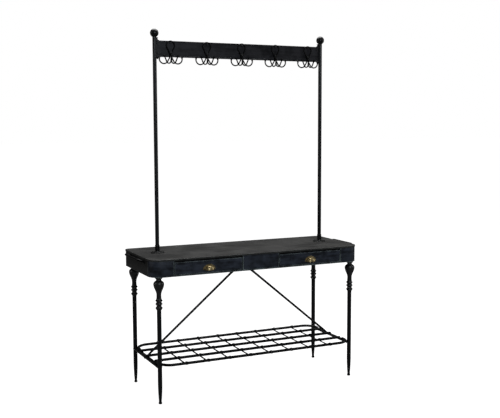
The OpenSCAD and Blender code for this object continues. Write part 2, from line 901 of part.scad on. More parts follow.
// Bar and arms in a tilted plane, with a rosette at each end against the side panel.
module towel_bar(side) {
    bend = 20;
    inside = 14;
    color("#0e0e0f")
        on_side(side)
            translate([apron_x, 0, towel_z]) {
                rotate([0, -towel_tilt, 0])
                    bent_rod([[0, -towel_w / 2], [towel_reach, -towel_w / 2],
                              [towel_reach, towel_w / 2], [0, towel_w / 2]], bend, towel_d);
                for (e = [FRONT, BACK])
                    translate([0, e * towel_w / 2, 0]) rotate([0, 90, 0]) {
                        cylinder(h = rose_t, d = rose_d);
                        translate([0, 0, -inside]) cylinder(h = inside, d = towel_d);
                    }
            }
}

module side_panel_left() { set_out() side_panel(LEFT); }
module side_panel_right() { set_out() side_panel(RIGHT); }
module corner_front_left() { set_out() corner_front(LEFT); }
module corner_front_right() { set_out() corner_front(RIGHT); }
module divider_left() { set_out() divider(LEFT); }
module divider_right() { set_out() divider(RIGHT); }
module drawer_left_front() { set_out() drawer_front(LEFT); }
module drawer_left_tray() { set_out() drawer_tray(LEFT); }
module cup_pull_left() { set_out() cup_pull(LEFT); }
module pull_screws_left() { set_out() pull_screws(LEFT); }
module drawer_right_front() { set_out() drawer_front(RIGHT); }
module drawer_right_tray() { set_out() drawer_tray(RIGHT); }
module cup_pull_right() { set_out() cup_pull(RIGHT); }
module pull_screws_right() { set_out() pull_screws(RIGHT); }
module leg_casting_fl() { set_out() leg_casting(LEFT, FRONT); }
module leg_casting_fr() { set_out() leg_casting(RIGHT, FRONT); }
module leg_casting_bl() { set_out() leg_casting(LEFT, BACK); }
module leg_casting_br() { set_out() leg_casting(RIGHT, BACK); }
module leg_tube_fl() { set_out() leg_tube(LEFT, FRONT); }
module leg_tube_fr() { set_out() leg_tube(RIGHT, FRONT); }
module leg_tube_bl() { set_out() leg_tube(LEFT, BACK); }
module leg_tube_br() { set_out() leg_tube(RIGHT, BACK); }
module shelf_front_rod() { set_out() shelf_bent_rod(FRONT); }
module shelf_back_rod() { set_out() shelf_bent_rod(BACK); }
module shelf_side_bar_left() { set_out() shelf_side_bar(LEFT); }
module shelf_side_bar_right() { set_out() shelf_side_bar(RIGHT); }
module brace_left() { set_out() brace(LEFT); }
module brace_right() { set_out() brace(RIGHT); }
module hook_post_left() { set_out() hook_post(LEFT); }
module hook_post_right() { set_out() hook_post(RIGHT); }
module post_flange_left() { set_out() post_flange(LEFT); }
module post_flange_right() { set_out() post_flange(RIGHT); }
module ball_finial_left() { set_out() ball_finial(LEFT); }
module ball_finial_right() { set_out() ball_finial(RIGHT); }
module rail_bracket_left() { set_out() rail_bracket(LEFT); }
module rail_bracket_right() { set_out() rail_bracket(RIGHT); }
module hook_1() { hook(1); }
module hook_2() { hook(2); }
module hook_3() { hook(3); }
module hook_4() { hook(4); }
module hook_5() { hook(5); }
module towel_bar_left() { set_out() towel_bar(LEFT); }
module towel_bar_right() { set_out() towel_bar(RIGHT); }

top_panel();
side_panel_left();
side_panel_right();
back_panel();
corner_front_left();
corner_front_right();
front_centre_panel();
front_top_rail();
front_bottom_rail();
divider_left();
divider_right();
drawer_runners();
leg_mounting_plates();
brace_cross_bar();
drawer_left_front();
drawer_left_tray();
cup_pull_left();
pull_screws_left();
drawer_right_front();
drawer_right_tray();
cup_pull_right();
pull_screws_right();
leg_casting_fl();
leg_casting_fr();
leg_casting_bl();
leg_casting_br();
leg_tube_fl();
leg_tube_fr();
leg_tube_bl();
leg_tube_br();
foot_pads();
leg_screws();
shelf_front_rod();
shelf_back_rod();
shelf_inner_rods();
shelf_cross_strips();
shelf_side_bar_left();
shelf_side_bar_right();
brace_left();
brace_right();
brace_bolts();
hook_post_left();
hook_post_right();
post_flange_left();
post_flange_right();
flange_screws();
ball_finial_left();
ball_finial_right();
hook_rail();
rail_bracket_left();
rail_bracket_right();
rail_bolts();
hook_1();
hook_2();
hook_3();
hook_4();
hook_5();
hook_screws();
towel_bar_left();
towel_bar_right();
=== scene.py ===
import math

import bmesh
import bpy
from mathutils import Matrix, Vector


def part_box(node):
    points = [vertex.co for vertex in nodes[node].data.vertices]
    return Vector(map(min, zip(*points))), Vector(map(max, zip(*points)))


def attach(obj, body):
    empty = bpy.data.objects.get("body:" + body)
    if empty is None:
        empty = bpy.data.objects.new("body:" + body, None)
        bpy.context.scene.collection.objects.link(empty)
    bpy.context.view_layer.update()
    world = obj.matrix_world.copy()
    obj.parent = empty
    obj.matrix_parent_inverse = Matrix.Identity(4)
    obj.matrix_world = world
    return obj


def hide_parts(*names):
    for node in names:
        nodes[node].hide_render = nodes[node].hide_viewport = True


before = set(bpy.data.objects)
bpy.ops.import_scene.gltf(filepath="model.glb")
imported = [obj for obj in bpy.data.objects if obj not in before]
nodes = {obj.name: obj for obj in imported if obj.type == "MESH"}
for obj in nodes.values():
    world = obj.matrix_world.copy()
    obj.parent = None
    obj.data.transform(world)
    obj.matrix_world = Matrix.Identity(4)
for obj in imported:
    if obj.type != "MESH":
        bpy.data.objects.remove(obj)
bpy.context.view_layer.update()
scene = bpy.context.scene

# ---- The room ----
# A pale studio floor under soft light, and the camera at eye height, in front and to the left.
# None of it belongs to the hall tree.
scene.view_settings.view_transform = "Standard"

floor_half = 60.0
floor_mesh = bpy.data.meshes.new("studio_floor")
floor_mesh.from_pydata(
    [(-floor_half, -floor_half, 0), (floor_half, -floor_half, 0),
     (floor_half, floor_half, 0), (-floor_half, floor_half, 0)], [], [(0, 1, 2, 3)])
floor = bpy.data.objects.new("studio_floor", floor_mesh)
scene.collection.objects.link(floor)
floor_paint = bpy.data.materials.new("floor_paint")
floor_paint.use_nodes = True
sky = bpy.data.worlds.new("studio_sky")
sky.use_nodes = True
scene.world = sky


def lit_and_seen(tree, lit, seen, surface):
    """A studio surface that looks white but throws little light back: one shader for each job."""
    ray = tree.nodes.new("ShaderNodeLightPath")
    mix = tree.nodes.new("ShaderNodeMixShader")
    tree.links.new(ray.outputs["Is Camera Ray"], mix.inputs["Fac"])
    tree.links.new(lit.outputs[0], mix.inputs[1])
    tree.links.new(seen.outputs[0], mix.inputs[2])
    tree.links.new(mix.outputs[0], tree.nodes[surface].inputs["Surface"])


def matt(shader, grey):
    shader.inputs["Base Color"].default_value = (grey, grey, grey, 1)
    shader.inputs["Roughness"].default_value = 1.0
    shader.inputs["Specular IOR Level"].default_value = 0.0


floor_lit = floor_paint.node_tree.nodes["Principled BSDF"]
floor_seen = floor_paint.node_tree.nodes.new("ShaderNodeBsdfPrincipled")
matt(floor_lit, 0.18)
matt(floor_seen, 0.30)
floor_seen.inputs["Emission Color"].default_value = (1, 1, 1, 1)
floor_seen.inputs["Emission Strength"].default_value = 1.0
lit_and_seen(floor_paint.node_tree, floor_lit, floor_seen, "Material Output")
floor_mesh.materials.append(floor_paint)

sky_lit = sky.node_tree.nodes["Background"]
sky_seen = sky.node_tree.nodes.new("ShaderNodeBackground")
for sky_part, strength in ((sky_lit, 0.06), (sky_seen, 1.0)):
    sky_part.inputs["Color"].default_value = (1, 1, 1, 1)
    sky_part.inputs["Strength"].default_value = strength
lit_and_seen(sky.node_tree, sky_lit, sky_seen, "World Output")


def soft_lamp(name, place, aim, width, height, watts, tint=(1, 1, 1)):
    lamp = bpy.data.lights.new(name, "AREA")
    lamp.shape = "RECTANGLE"
    lamp.size, lamp.size_y = width, height
    lamp.energy, lamp.color = watts, tint
    holder = bpy.data.objects.new(name, lamp)
    scene.collection.objects.link(holder)
    holder.location = place
    holder.rotation_mode = "QUATERNION"
    holder.rotation_quaternion = (Vector(aim) - Vector(place)).to_track_quat("-Z", "Y")


middle = (0, 0, 0.9)
soft_lamp("lamp_overhead", (0.4, 0.9, 4.4), middle, 3.4, 2.4, 160)
soft_lamp("lamp_front", (-0.6, -4.6, 2.6), (0, 0, 0.7), 1.4, 1.4, 52, (0.86, 0.93, 1.0))
soft_lamp("lamp_right", (4.4, -1.4, 2.4), middle, 0.9, 2.6, 30)
soft_lamp("lamp_left", (-4.4, 0.4, 2.2), middle, 0.8, 2.6, 16)

camera_data = bpy.data.cameras.new("camera")
camera_data.sensor_width = 36.0
camera_data.lens = 60.55
camera = bpy.data.objects.new("camera", camera_data)
scene.collection.objects.link(camera)
scene.camera = camera
eye_x, eye_y, eye_z = -1.9717, -4.2445, 1.4468
yaw, pitch, roll = math.radians(25.35), math.radians(-5.75), math.radians(-0.18)
ahead = Vector((math.sin(yaw) * math.cos(pitch), math.cos(yaw) * math.cos(pitch), math.sin(pitch)))
level = Vector((math.cos(yaw), -math.sin(yaw), 0.0))
upright = level.cross(ahead)
to_right = math.cos(roll) * level + math.sin(roll) * upright
to_top = math.cos(roll) * upright - math.sin(roll) * level
camera.matrix_world = Matrix((
    (to_right.x, to_top.x, -ahead.x, eye_x),
    (to_right.y, to_top.y, -ahead.y, eye_y),
    (to_right.z, to_top.z, -ahead.z, eye_z),
    (0, 0, 0, 1)))

# ---- Leg castings ----
# Each leg starts with a cast-iron turning, screwed up through its round seat into the table.
# A vase stands over three rings, all painted satin black and rubbed thin on the high spots.


def new_object(name, verts, faces, finish, crease=35.0):
    mesh = bpy.data.meshes.new(name)
    mesh.from_pydata([tuple(v) for v in verts], [], faces)
    mesh.update()
    mesh.shade_smooth()
    mesh.set_sharp_from_angle(angle=math.radians(crease))
    mesh.materials.append(finish)
    obj = bpy.data.objects.new(name, mesh)
    scene.collection.objects.link(obj)
    return obj


def fit(obj, body, slot, *cad):
    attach(obj, body)
    if cad:
        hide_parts(*cad)


def middle_and_reach(low, high):
    """The upright axis of a turned part, as x and y, and its greatest radius."""
    return (low.x + high.x) / 2, (low.y + high.y) / 2, (high.x - low.x) / 2


def turned_mesh(outline, x, y, steps=56, start=0):
    """Rings of points for an outline of (radius, height) turned about the upright axis at x, y."""
    verts, faces, rings = [], [], []
    for radius, z in outline:
        first = start + len(verts)
        if radius < 1e-6:
            verts.append((x, y, z))
            rings.append([first])
        else:
            for i in range(steps):
                a = 2 * math.pi * i / steps
                verts.append((x + radius * math.cos(a), y + radius * math.sin(a), z))
            rings.append(list(range(first, first + steps)))
    for low, high in zip(rings, rings[1:]):
        for i in range(steps):
            j = (i + 1) % steps
            ring = [low[i % len(low)], low[j % len(low)], high[j % len(high)], high[i % len(high)]]
            faces.append(tuple(dict.fromkeys(ring)))
    return verts, faces


def eased(points, steps=4):
    """A smooth line through points, by Catmull and Rom's rule."""
    out = []
    for k in range(len(points) - 1):
        p0, p1 = points[max(k - 1, 0)], points[k]
        p2, p3 = points[k + 1], points[min(k + 2, len(points) - 1)]
        for s in range(steps):
            t = s / steps
            out.append(tuple(
                0.5 * (2 * b + (c - a) * t + (2 * a - 5 * b + 4 * c - d) * t * t
                       + (3 * b - a - 3 * c + d) * t ** 3)
                for a, b, c, d in zip(p0, p1, p2, p3)))
    out.append(points[-1])
    return out


def blackened(name, dark, light, worn, gloss=0.42, shine=0.35, grain=(6, 90, 90), mottle=7.0,
              edge=0.0022, rub=0.5, pitted=0.25, pit_size=420.0, streaks=0.25, metal=0.0):
    """Finished metal: streaks along the grain, cloudy patches, pits, and edges rubbed paler."""
    mat = bpy.data.materials.new(name)
    mat.use_nodes = True
    tree = mat.node_tree
    new, link = tree.nodes.new, tree.links.new
    shader = tree.nodes["Principled BSDF"]
    shader.inputs["Specular IOR Level"].default_value = shine
    shader.inputs["Metallic"].default_value = metal
    where = new("ShaderNodeTexCoord")

    def noise(scale, detail, rough, stretch=None):
        tex = new("ShaderNodeTexNoise")
        tex.inputs["Scale"].default_value = scale
        tex.inputs["Detail"].default_value = detail
        tex.inputs["Roughness"].default_value = rough
        if stretch:
            turn = new("ShaderNodeMapping")
            turn.inputs["Scale"].default_value = stretch
            link(where.outputs["Object"], turn.inputs["Vector"])
            link(turn.outputs["Vector"], tex.inputs["Vector"])
        else:
            link(where.outputs["Object"], tex.inputs["Vector"])
        return tex.outputs["Fac"]

    def ramp(value, low, high, to_low=0.0, to_high=1.0):
        node = new("ShaderNodeMapRange")
        node.interpolation_type = "SMOOTHSTEP"
        for socket, number in (("From Min", low), ("From Max", high),
                               ("To Min", to_low), ("To Max", to_high)):
            node.inputs[socket].default_value = number
        link(value, node.inputs["Value"])
        return node.outputs["Result"]

    def calc(kind, a, b):
        node = new("ShaderNodeMath")
        node.operation = kind
        for socket, value in zip(node.inputs, (a, b)):
            if isinstance(value, (int, float)):
                socket.default_value = value
            else:
                link(value, socket)
        return node.outputs["Value"]

    def blend(amount, a, b):
        node = new("ShaderNodeMix")
        node.data_type = "RGBA"
        link(amount, node.inputs["Factor"])
        for socket, value in ((node.inputs["A"], a), (node.inputs["B"], b)):
            if isinstance(value, tuple):
                socket.default_value = (*value, 1)
            else:
                link(value, socket)
        return node.outputs["Result"]

    clouds = noise(mottle, 5, 0.6)
    lines = noise(1.0, 6, 0.65, grain)
    pits = noise(pit_size, 2, 0.5)
    tone = ramp(calc("ADD", calc("MULTIPLY", lines, streaks),
                     calc("MULTIPLY", clouds, 1.0 - streaks)), 0.36, 0.64)
    colour = blend(tone, dark, light)

    corner = new("ShaderNodeBevel")
    corner.samples = 6
    corner.inputs["Radius"].default_value = edge
    surface = new("ShaderNodeNewGeometry")
    turnoff = new("ShaderNodeVectorMath")
    turnoff.operation = "DOT_PRODUCT"
    link(corner.outputs["Normal"], turnoff.inputs[0])
    link(surface.outputs["Normal"], turnoff.inputs[1])
    sharp = ramp(turnoff.outputs["Value"], 0.995, 0.93)
    patchy = ramp(noise(26.0, 4, 0.6), 0.50 - 0.25 * rub, 0.62)
    rubbed = calc("MULTIPLY", calc("MULTIPLY", sharp, patchy), rub)
    specks = calc("MULTIPLY", ramp(noise(210.0, 2, 0.5), 0.68, 0.76), 0.16 * rub)
    colour = blend(calc("MAXIMUM", rubbed, specks), colour, worn)
    link(colour, shader.inputs["Base Color"])

    rough = calc("ADD", ramp(lines, 0.3, 0.7, gloss - 0.07, gloss + 0.07),
                 ramp(clouds, 0.35, 0.65, -0.05, 0.06))
    link(rough, shader.inputs["Roughness"])
    height = calc("ADD", calc("MULTIPLY", lines, streaks), calc("MULTIPLY", pits, pitted))
    bump = new("ShaderNodeBump")
    bump.inputs["Strength"].default_value = 0.35
    bump.inputs["Distance"].default_value = 0.0012
    link(height, bump.inputs["Height"])
    link(bump.outputs["Normal"], shader.inputs["Normal"])
    return mat


cast_iron = blackened("cast_iron_black", (0.0022, 0.0023, 0.0026), (0.0075, 0.0085, 0.009),
                      (0.075, 0.088, 0.085), gloss=0.36, shine=0.75, grain=(30, 30, 60),
                      mottle=30.0, edge=0.006, rub=0.7, pitted=0.35, pit_size=260.0, streaks=0.1)

# radius and height above the lower end of the casting, in millimetres
casting_line = [
    (12.0, 0.0), (13.6, 0.4), (14.6, 2.4), (16.4, 5.2), (18.1, 8.0), (18.5, 10.2), (17.9, 12.6),
    (15.4, 14.6), (13.6, 17.0), (13.0, 20.0), (13.4, 24.0), (15.4, 26.8), (18.0, 29.0), (18.5, 31.2),
    (17.8, 33.6), (15.2, 35.8), (13.9, 38.2), (13.9, 42.0), (15.6, 44.8), (18.0, 47.0), (18.5, 49.2),
    (17.6, 51.6), (15.0, 54.0), (13.6, 58.0), (12.8, 66.0), (12.5, 75.0), (12.9, 84.0), (14.6, 92.0),
    (17.4, 100.0), (20.9, 108.0), (24.2, 116.0), (26.6, 123.5), (27.8, 130.0), (28.0, 135.0),
    (27.3, 140.0), (25.2, 144.4), (21.6, 148.4), (17.2, 151.6), (14.2, 154.4), (13.2, 157.0),
    (13.6, 159.6), (15.2, 161.6), (16.9, 162.4), (17.2, 163.2), (17.2, 164.6), (18.2, 165.2),
    (19.6, 165.6), (20.0, 166.4), (20.0, 169.8), (19.4, 170.0)]
table_corners = ("fl", "fr", "bl", "br")
for corner_name in table_corners:
    node = "leg_casting_" + corner_name
    low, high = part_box(node)
    x, y = middle_and_reach(low, high)[:2]
    line = [(0, low.z)] + [(r / 1000, low.z + h / 1000) for r, h in eased(casting_line, 3)]
    verts, faces = turned_mesh(line + [(0, high.z)], x, y, 64)
    casting = new_object("turned_casting_" + corner_name, verts, faces, cast_iron)
    fit(casting, "frame", "black_cast_iron", node)

# ---- Leg tubes and feet ----
# A steel tube is pressed into each casting and swaged to a slim point at its lower end.
# A small rubber pad under the point keeps it off the floor.
tube_black = blackened("tube_black", (0.0022, 0.0023, 0.0027), (0.008, 0.009, 0.0105),
                       (0.08, 0.09, 0.09), gloss=0.36, shine=0.36, grain=(70, 70, 3), mottle=9.0,
                       edge=0.002, rub=0.5, pitted=0.3, pit_size=380.0, streaks=0.45)
pad_rubber = blackened("foot_rubber", (0.006, 0.006, 0.006), (0.014, 0.014, 0.014),
                       (0.03, 0.03, 0.03), gloss=0.7, shine=0.2, mottle=60.0, edge=0.001, rub=0.3,
                       pitted=0.6, pit_size=700.0)
tip_r, tip_edge, taper, taper_steps, straight = 0.007, 0.0006, 0.106, 24, 0.3
for corner_name in table_corners:
    node = "leg_tube_" + corner_name
    low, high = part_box(node)
    x, y, full = middle_and_reach(low, high)
    line = [(0, low.z), (tip_r - tip_edge, low.z), (tip_r, low.z + tip_edge)]
    for k in range(1, taper_steps + 1):
        t = k / taper_steps
        swell = math.sin(t * math.pi / 2) ** 0.85
        line.append((tip_r + (full - tip_r) * swell, low.z + tip_edge + taper * t))
    line += [(full, high.z - straight), (full, high.z), (0, high.z)]
    verts, faces = turned_mesh(line, x, y, 48)
    tube = new_object("swaged_leg_" + corner_name, verts, faces, tube_black)
    fit(tube, "frame", "black_steel", node)

pad_verts, pad_faces = [], []
low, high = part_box("foot_pads")
pad_r = 0.009
pad_line = [(0, 0), (0.0078, 0), (0.0086, 0.0004), (pad_r, 0.0014), (pad_r, 0.0072),
            (0.0087, 0.0084), (0.0079, 0.0094), (0.0074, 0.0104), (0.0073, 0.0118), (0, 0.012)]
for pad_x in (low.x + pad_r, high.x - pad_r):
    for pad_y in (low.y + pad_r, high.y - pad_r):
        verts, faces = turned_mesh(pad_line, pad_x, pad_y, 40, len(pad_verts))
        pad_verts += verts
        pad_faces += faces
pads = new_object("rubber_pads", pad_verts, pad_faces, pad_rubber)
fit(pads, "frame", "foot_rubber", "foot_pads")

# ---- Table top ----
# One steel sheet, cut with rounded corners and folded down all round as a shallow rim.
# It is blackened and waxed, brushed along its length, and paler where the fold has been rubbed.
top_steel = blackened("top_steel", (0.017, 0.017, 0.0165), (0.044, 0.0435, 0.042),
                      (0.15, 0.165, 0.16), gloss=0.46, shine=0.32, grain=(3.5, 42, 42),
                      mottle=7.0, edge=0.004, rub=0.8, pitted=0.15, pit_size=300.0, streaks=0.4)
top_low, top_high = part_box("top_panel")
half_w, mid_y = top_high.x, (top_low.y + top_high.y) / 2
half_d = top_high.y - mid_y
front_r, back_r = 0.065, 0.030
corner_steps = 14


def plan_ring(inset):
    """The outline of the table top moved inwards, anticlockwise from the middle of the right end."""
    ring = []
    w, d = half_w - inset, half_d - inset
    for sx, sy, r, first in ((1, 1, back_r, 0), (-1, 1, back_r, 90),
                             (-1, -1, front_r, 180), (1, -1, front_r, 270)):
        r -= inset
        for i in range(corner_steps + 1):
            a = math.radians(first + 90 * i / corner_steps)
            ring.append((sx * (w - r) + r * math.cos(a), sy * (d - r) + r * math.sin(a)))
    return ring


def skin(rings, n, turned_round=False):
    """Faces over rings of n points each, with a flat face at each end."""
    faces = []
    for k in range(rings - 1):
        for i in range(n):
            j = (i + 1) % n
            a, b, c, d = k * n + i, (k + 1) * n + i, (k + 1) * n + j, k * n + j
            faces.append((a, d, c, b) if turned_round else (a, b, c, d))
    first, last = tuple(range(n)), tuple(range((rings - 1) * n, rings * n))
    return faces + ([first[::-1], last] if turned_round else [first, last[::-1]])


def ring_shell(ring_of, profile, place):
    """Walls that follow a profile of (inset, level) round an outline, closed at both ends."""
    verts = []
    for inset, lift in profile:
        verts += [place(u, v, lift) for u, v in ring_of(inset)]
    return verts, skin(len(profile), len(verts) // len(profile))


table_top = top_high.z
rim = top_high.z - top_low.z
rim_profile = [(i / 1000, table_top - d / 1000) for i, d in (
    (2.4, 0.0), (1.5, 0.1), (0.8, 0.4), (0.3, 0.9), (0.05, 1.7), (0.0, 2.6))]
rim_profile += [(i / 1000, table_top - rim + d / 1000) for i, d in (
    (0.0, 1.2), (0.15, 0.5), (0.6, 0.1), (1.25, 0.0), (1.9, 0.1), (2.35, 0.5), (2.5, 1.2))]
rim_profile.append((0.0025, table_top - 0.0025))
verts, faces = ring_shell(plan_ring, rim_profile, lambda x, y, z: (x, y + mid_y, z))
top = new_object("folded_top", verts, faces, top_steel, 28)
fit(top, "frame", "top_steel", "top_panel")

# ---- Apron ----
# Sheet steel walls stand inside the rim: the two ends, the back, and a corner piece that bends
# round each front corner, butt-welded in one line at each end. Every edge is rubbed paler.
apron_steel = blackened("apron_steel", (0.0075, 0.0095, 0.0135), (0.040, 0.049, 0.070),
                        (0.36, 0.43, 0.41), gloss=0.42, shine=0.34, grain=(9, 9, 60), mottle=26.0,
                        edge=0.0055, rub=0.9, pitted=0.2, pit_size=300.0, streaks=0.5)
# The ends, the back and the folds behind them take a darker, less blue copy of the same steel:
# painted shade for the walls turned away from the light.
end_steel_painted_shade = blackened("end_steel_painted_shade", (0.005, 0.0052, 0.005), (0.020, 0.020, 0.019),
                      (0.14, 0.155, 0.15), gloss=0.44, shine=0.3, grain=(9, 9, 60), mottle=26.0,
                      edge=0.004, rub=0.8, pitted=0.2, pit_size=300.0, streaks=0.45)
sheet, rim_t = 0.002, 0.0025


def wall(name, path, low, high, finish):
    """Sheet metal of even thickness standing along a path, its outer face on the path's right."""
    soft = 0.0005
    edge = [(0, soft), (0.3 * soft, 0.3 * soft), (soft, 0), (sheet - soft, 0), (sheet, soft)]
    section = [(i, low + d) for i, d in edge] + [(i, high - d) for i, d in edge[::-1]]
    verts = []
    for k, here in enumerate(path):
        a = Vector(path[max(k - 1, 0)])
        b = Vector(path[min(k + 1, len(path) - 1)])
        along = (b - a).normalized()
        inward = Vector((-along.y, along.x))
        for inset, z in section:
            p = Vector(here) + inward * inset
            verts.append((p.x, p.y, z))
    obj = new_object(name, verts, skin(len(path), len(section)), finish, 30)
    mend_outward(obj)
    return obj


def mend_outward(obj):
    """Turns every face of a closed piece outwards."""
    mesh = obj.data
    work = bmesh.new()
    work.from_mesh(mesh)
    bmesh.ops.remove_doubles(work, verts=work.verts, dist=1e-6)
    bmesh.ops.recalc_face_normals(work, faces=work.faces)
    work.to_mesh(mesh)
    work.free()
    mesh.update()


def join_meshes(name, parts, finish, crease=30.0):
    """One object from several lists of points and faces."""
    verts, faces = [], []
    for v, f in parts:
        faces += [tuple(i + len(verts) for i in face) for face in f]
        verts += v
    obj = new_object(name, verts, faces, finish, crease)
    mend_outward(obj)
    return obj


apron_ring = [(x, y + mid_y) for x, y in plan_ring(rim_t)]
per_corner = corner_steps + 1
back_right, back_left, front_left, front_right = [
    apron_ring[k * per_corner:(k + 1) * per_corner] for k in range(4)]
side_low, side_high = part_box("side_panel_left")
cf_low, cf_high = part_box("corner_front_left")
seam_back, seam_front = side_high.y, side_low.y
apron_low, apron_high = cf_low.z, cf_high.z
open_x = -cf_high.x
apron_left = front_left[0][0]
walls = (
    ("bent_corner_left", "corner_front_left", apron_steel,
     front_left + [(-open_x, front_left[-1][1])]),
    ("bent_corner_right", "corner_front_right", apron_steel,
     [(open_x, front_right[0][1])] + front_right),
    ("end_wall_left", "side_panel_left", end_steel_painted_shade,
     [(apron_left, seam_back), (apron_left, seam_front)]),
    ("end_wall_right", "side_panel_right", end_steel_painted_shade,
     [(-apron_left, seam_front), (-apron_left, seam_back)]),
    ("back_wall", "back_panel", end_steel_painted_shade,
     [(-apron_left, seam_back)] + back_right + back_left + [(apron_left, seam_back)]),
)
for name, node, finish, path in walls:
    fit(wall(name, path, apron_low, apron_high, finish), "frame", "apron_steel", node)


def slab(low, high, soft=0.0006):
    """A flat piece of sheet between two corners, with its edges broken all round."""
    mid = [(a + b) / 2 for a, b in zip(low, high)]
    half = [(b - a) / 2 for a, b in zip(low, high)]
    verts, faces, index = [], [], {}

    def point(sx, sy, sz, axis):
        key = (sx, sy, sz, axis)
        if key not in index:
            signs = (sx, sy, sz)
            index[key] = len(verts)
            verts.append(tuple(m + s * (h - (0 if k == axis else soft))
                               for k, (m, s, h) in enumerate(zip(mid, signs, half))))
        return index[key]

    def corner(axis, s, a, b, face):
        u, v = [k for k in range(3) if k != axis]
        signs = [0, 0, 0]
        signs[axis], signs[u], signs[v] = s, a, b
        return point(*signs, face)

    for axis in range(3):
        for s in (-1, 1):
            faces.append(tuple(corner(axis, s, a, b, axis)
                               for a, b in ((-1, -1), (1, -1), (1, 1), (-1, 1))))
    for axis in range(3):
        u, v = [k for k in range(3) if k != axis]
        for a in (-1, 1):
            for b in (-1, 1):
                faces.append(tuple(corner(axis, s, a, b, face)
                                   for s, face in ((-1, u), (1, u), (1, v), (-1, v))))
    for sx in (-1, 1):
        for sy in (-1, 1):
            for sz in (-1, 1):
                faces.append(tuple(point(sx, sy, sz, axis) for axis in range(3)))
    return verts, faces


# bottom flanges and jambs, spot-welded behind the walls
back_flange_x, back_flange_y, jamb_y = 0.494, 0.040, 0.028
end_flange_x, end_flange_y = 0.012, 0.148
low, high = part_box("back_panel")
flange_parts = [slab((-back_flange_x, high.y - sheet - back_flange_y, low.z),
                     (back_flange_x, high.y - sheet, low.z + sheet))]
for s in (-1, 1):
    near, far = sorted((s * open_x, s * (open_x + sheet)))
    flange_parts.append(slab((near, cf_low.y + sheet, apron_low),
                             (far, cf_low.y + jamb_y, apron_high)))
    near, far = sorted((s * (-apron_left - sheet), s * (-apron_left - sheet - end_flange_x)))
    flange_parts.append(slab((near, mid_y - end_flange_y, apron_low),
                             (far, mid_y + end_flange_y, apron_low + sheet)))
folds = join_meshes("apron_folds", flange_parts, end_steel_painted_shade)
fit(folds, "frame", "apron_steel")

# The fixed panel between the drawers is a shallow pan, folded back at its two ends. Above and below
# the drawer fronts, long strips of the same sheet close the front.
front_y = cf_low.y
low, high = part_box("front_centre_panel")
centre_parts = [slab((low.x, front_y, low.z), (high.x, front_y + sheet, high.z), 0.0009)]
under_strip = 0.0145
for s in (-1, 1):
    near, far = sorted((s * (high.x - sheet), s * (high.x - 2 * sheet)))
    centre_parts.append(slab((near, front_y + sheet, low.z), (far, high.y, high.z - under_strip)))
centre = join_meshes("centre_panel", centre_parts, apron_steel)
fit(centre, "frame", "apron_steel", "front_centre_panel")
low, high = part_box("front_bottom_rail")
strip_parts = [slab((low.x, low.y, low.z), (high.x, low.y + sheet, high.z)),
               slab((low.x, low.y + sheet, low.z), (high.x, high.y, low.z + sheet))]
lower_strip = join_meshes("lower_front_strip", strip_parts, apron_steel)
fit(lower_strip, "frame", "apron_steel", "front_bottom_rail")
# The upper one, just under the rim, is given a near-black finish: painted shade for the shadow the
# rim casts on it.
upper_strip_painted_shade = blackened("upper_strip_painted_shade", (0.002, 0.002, 0.0022), (0.006, 0.006, 0.0065),
                        (0.03, 0.03, 0.03), gloss=0.6, shine=0.15, grain=(9, 20, 20), mottle=14.0,
                        edge=0.0012, rub=0.3)
low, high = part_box("front_top_rail")
strip_parts = [slab((low.x, low.y, low.z), (high.x, low.y + sheet, high.z)),
               slab((low.x, low.y + sheet, high.z - sheet), (high.x, high.y, high.z))]
upper_strip = join_meshes("upper_front_strip", strip_parts, upper_strip_painted_shade)
fit(upper_strip, "frame", "apron_steel", "front_top_rail")

# ---- Inside the table ----
# Plain folded sheet: dividers, angle runners, leg plates and the bar that holds the braces.
# Left as they came from the shop, in dull zinc and black primer.
zinc_steel = blackened("zinc_steel", (0.27, 0.27, 0.26), (0.34, 0.34, 0.33), (0.5, 0.5, 0.48),
                       gloss=0.42, shine=0.5, grain=(60, 4, 60), mottle=30.0, edge=0.0015,
                       rub=0.3, pitted=0.2, pit_size=500.0, streaks=0.3, metal=0.85)
primer = blackened("black_primer", (0.008, 0.008, 0.008), (0.018, 0.018, 0.018),
                   (0.07, 0.07, 0.07), gloss=0.6, shine=0.25, grain=(20, 20, 20), mottle=14.0,
                   edge=0.0015, rub=0.4)


def paint_nodes(finish, *names):
    """Gives solids that keep their own shape a finish."""
    for name in names:
        nodes[name].data.materials.clear()
        nodes[name].data.materials.append(finish)


paint_nodes(primer, "divider_left", "divider_right", "leg_mounting_plates", "brace_cross_bar")
paint_nodes(zinc_steel, "drawer_runners", "leg_screws")

# ---- Drawers ----
# Each drawer front is a folded steel pan with softened corners, blue-black and brushed lengthways,
# its edges worn to grey. The tray behind it is bare zinc-coated sheet.
drawer_steel = blackened("drawer_steel", (0.0085, 0.0105, 0.0150), (0.044, 0.054, 0.078),
                         (0.36, 0.43, 0.42), gloss=0.40, shine=0.36, grain=(9, 60, 60),
                         mottle=26.0, edge=0.0055, rub=0.9, pitted=0.2, pit_size=300.0,
                         streaks=0.6)


def rounded_ring(low, high, radius, steps=4):
    """Outline maker for a rectangle with small corner radii, moved inwards by an inset."""
    def ring(inset):
        points = []
        x0, z0, x1, z1 = low[0] + inset, low[1] + inset, high[0] - inset, high[1] - inset
        r = max(radius - inset, 0.0003)
        for cx, cz, first in ((x1 - r, z1 - r, 0), (x0 + r, z1 - r, 90),
                              (x0 + r, z0 + r, 180), (x1 - r, z0 + r, 270)):
            for i in range(steps + 1):
                a = math.radians(first + 90 * i / steps)
                points.append((cx + r * math.cos(a), cz + r * math.sin(a)))
        return points
    return ring


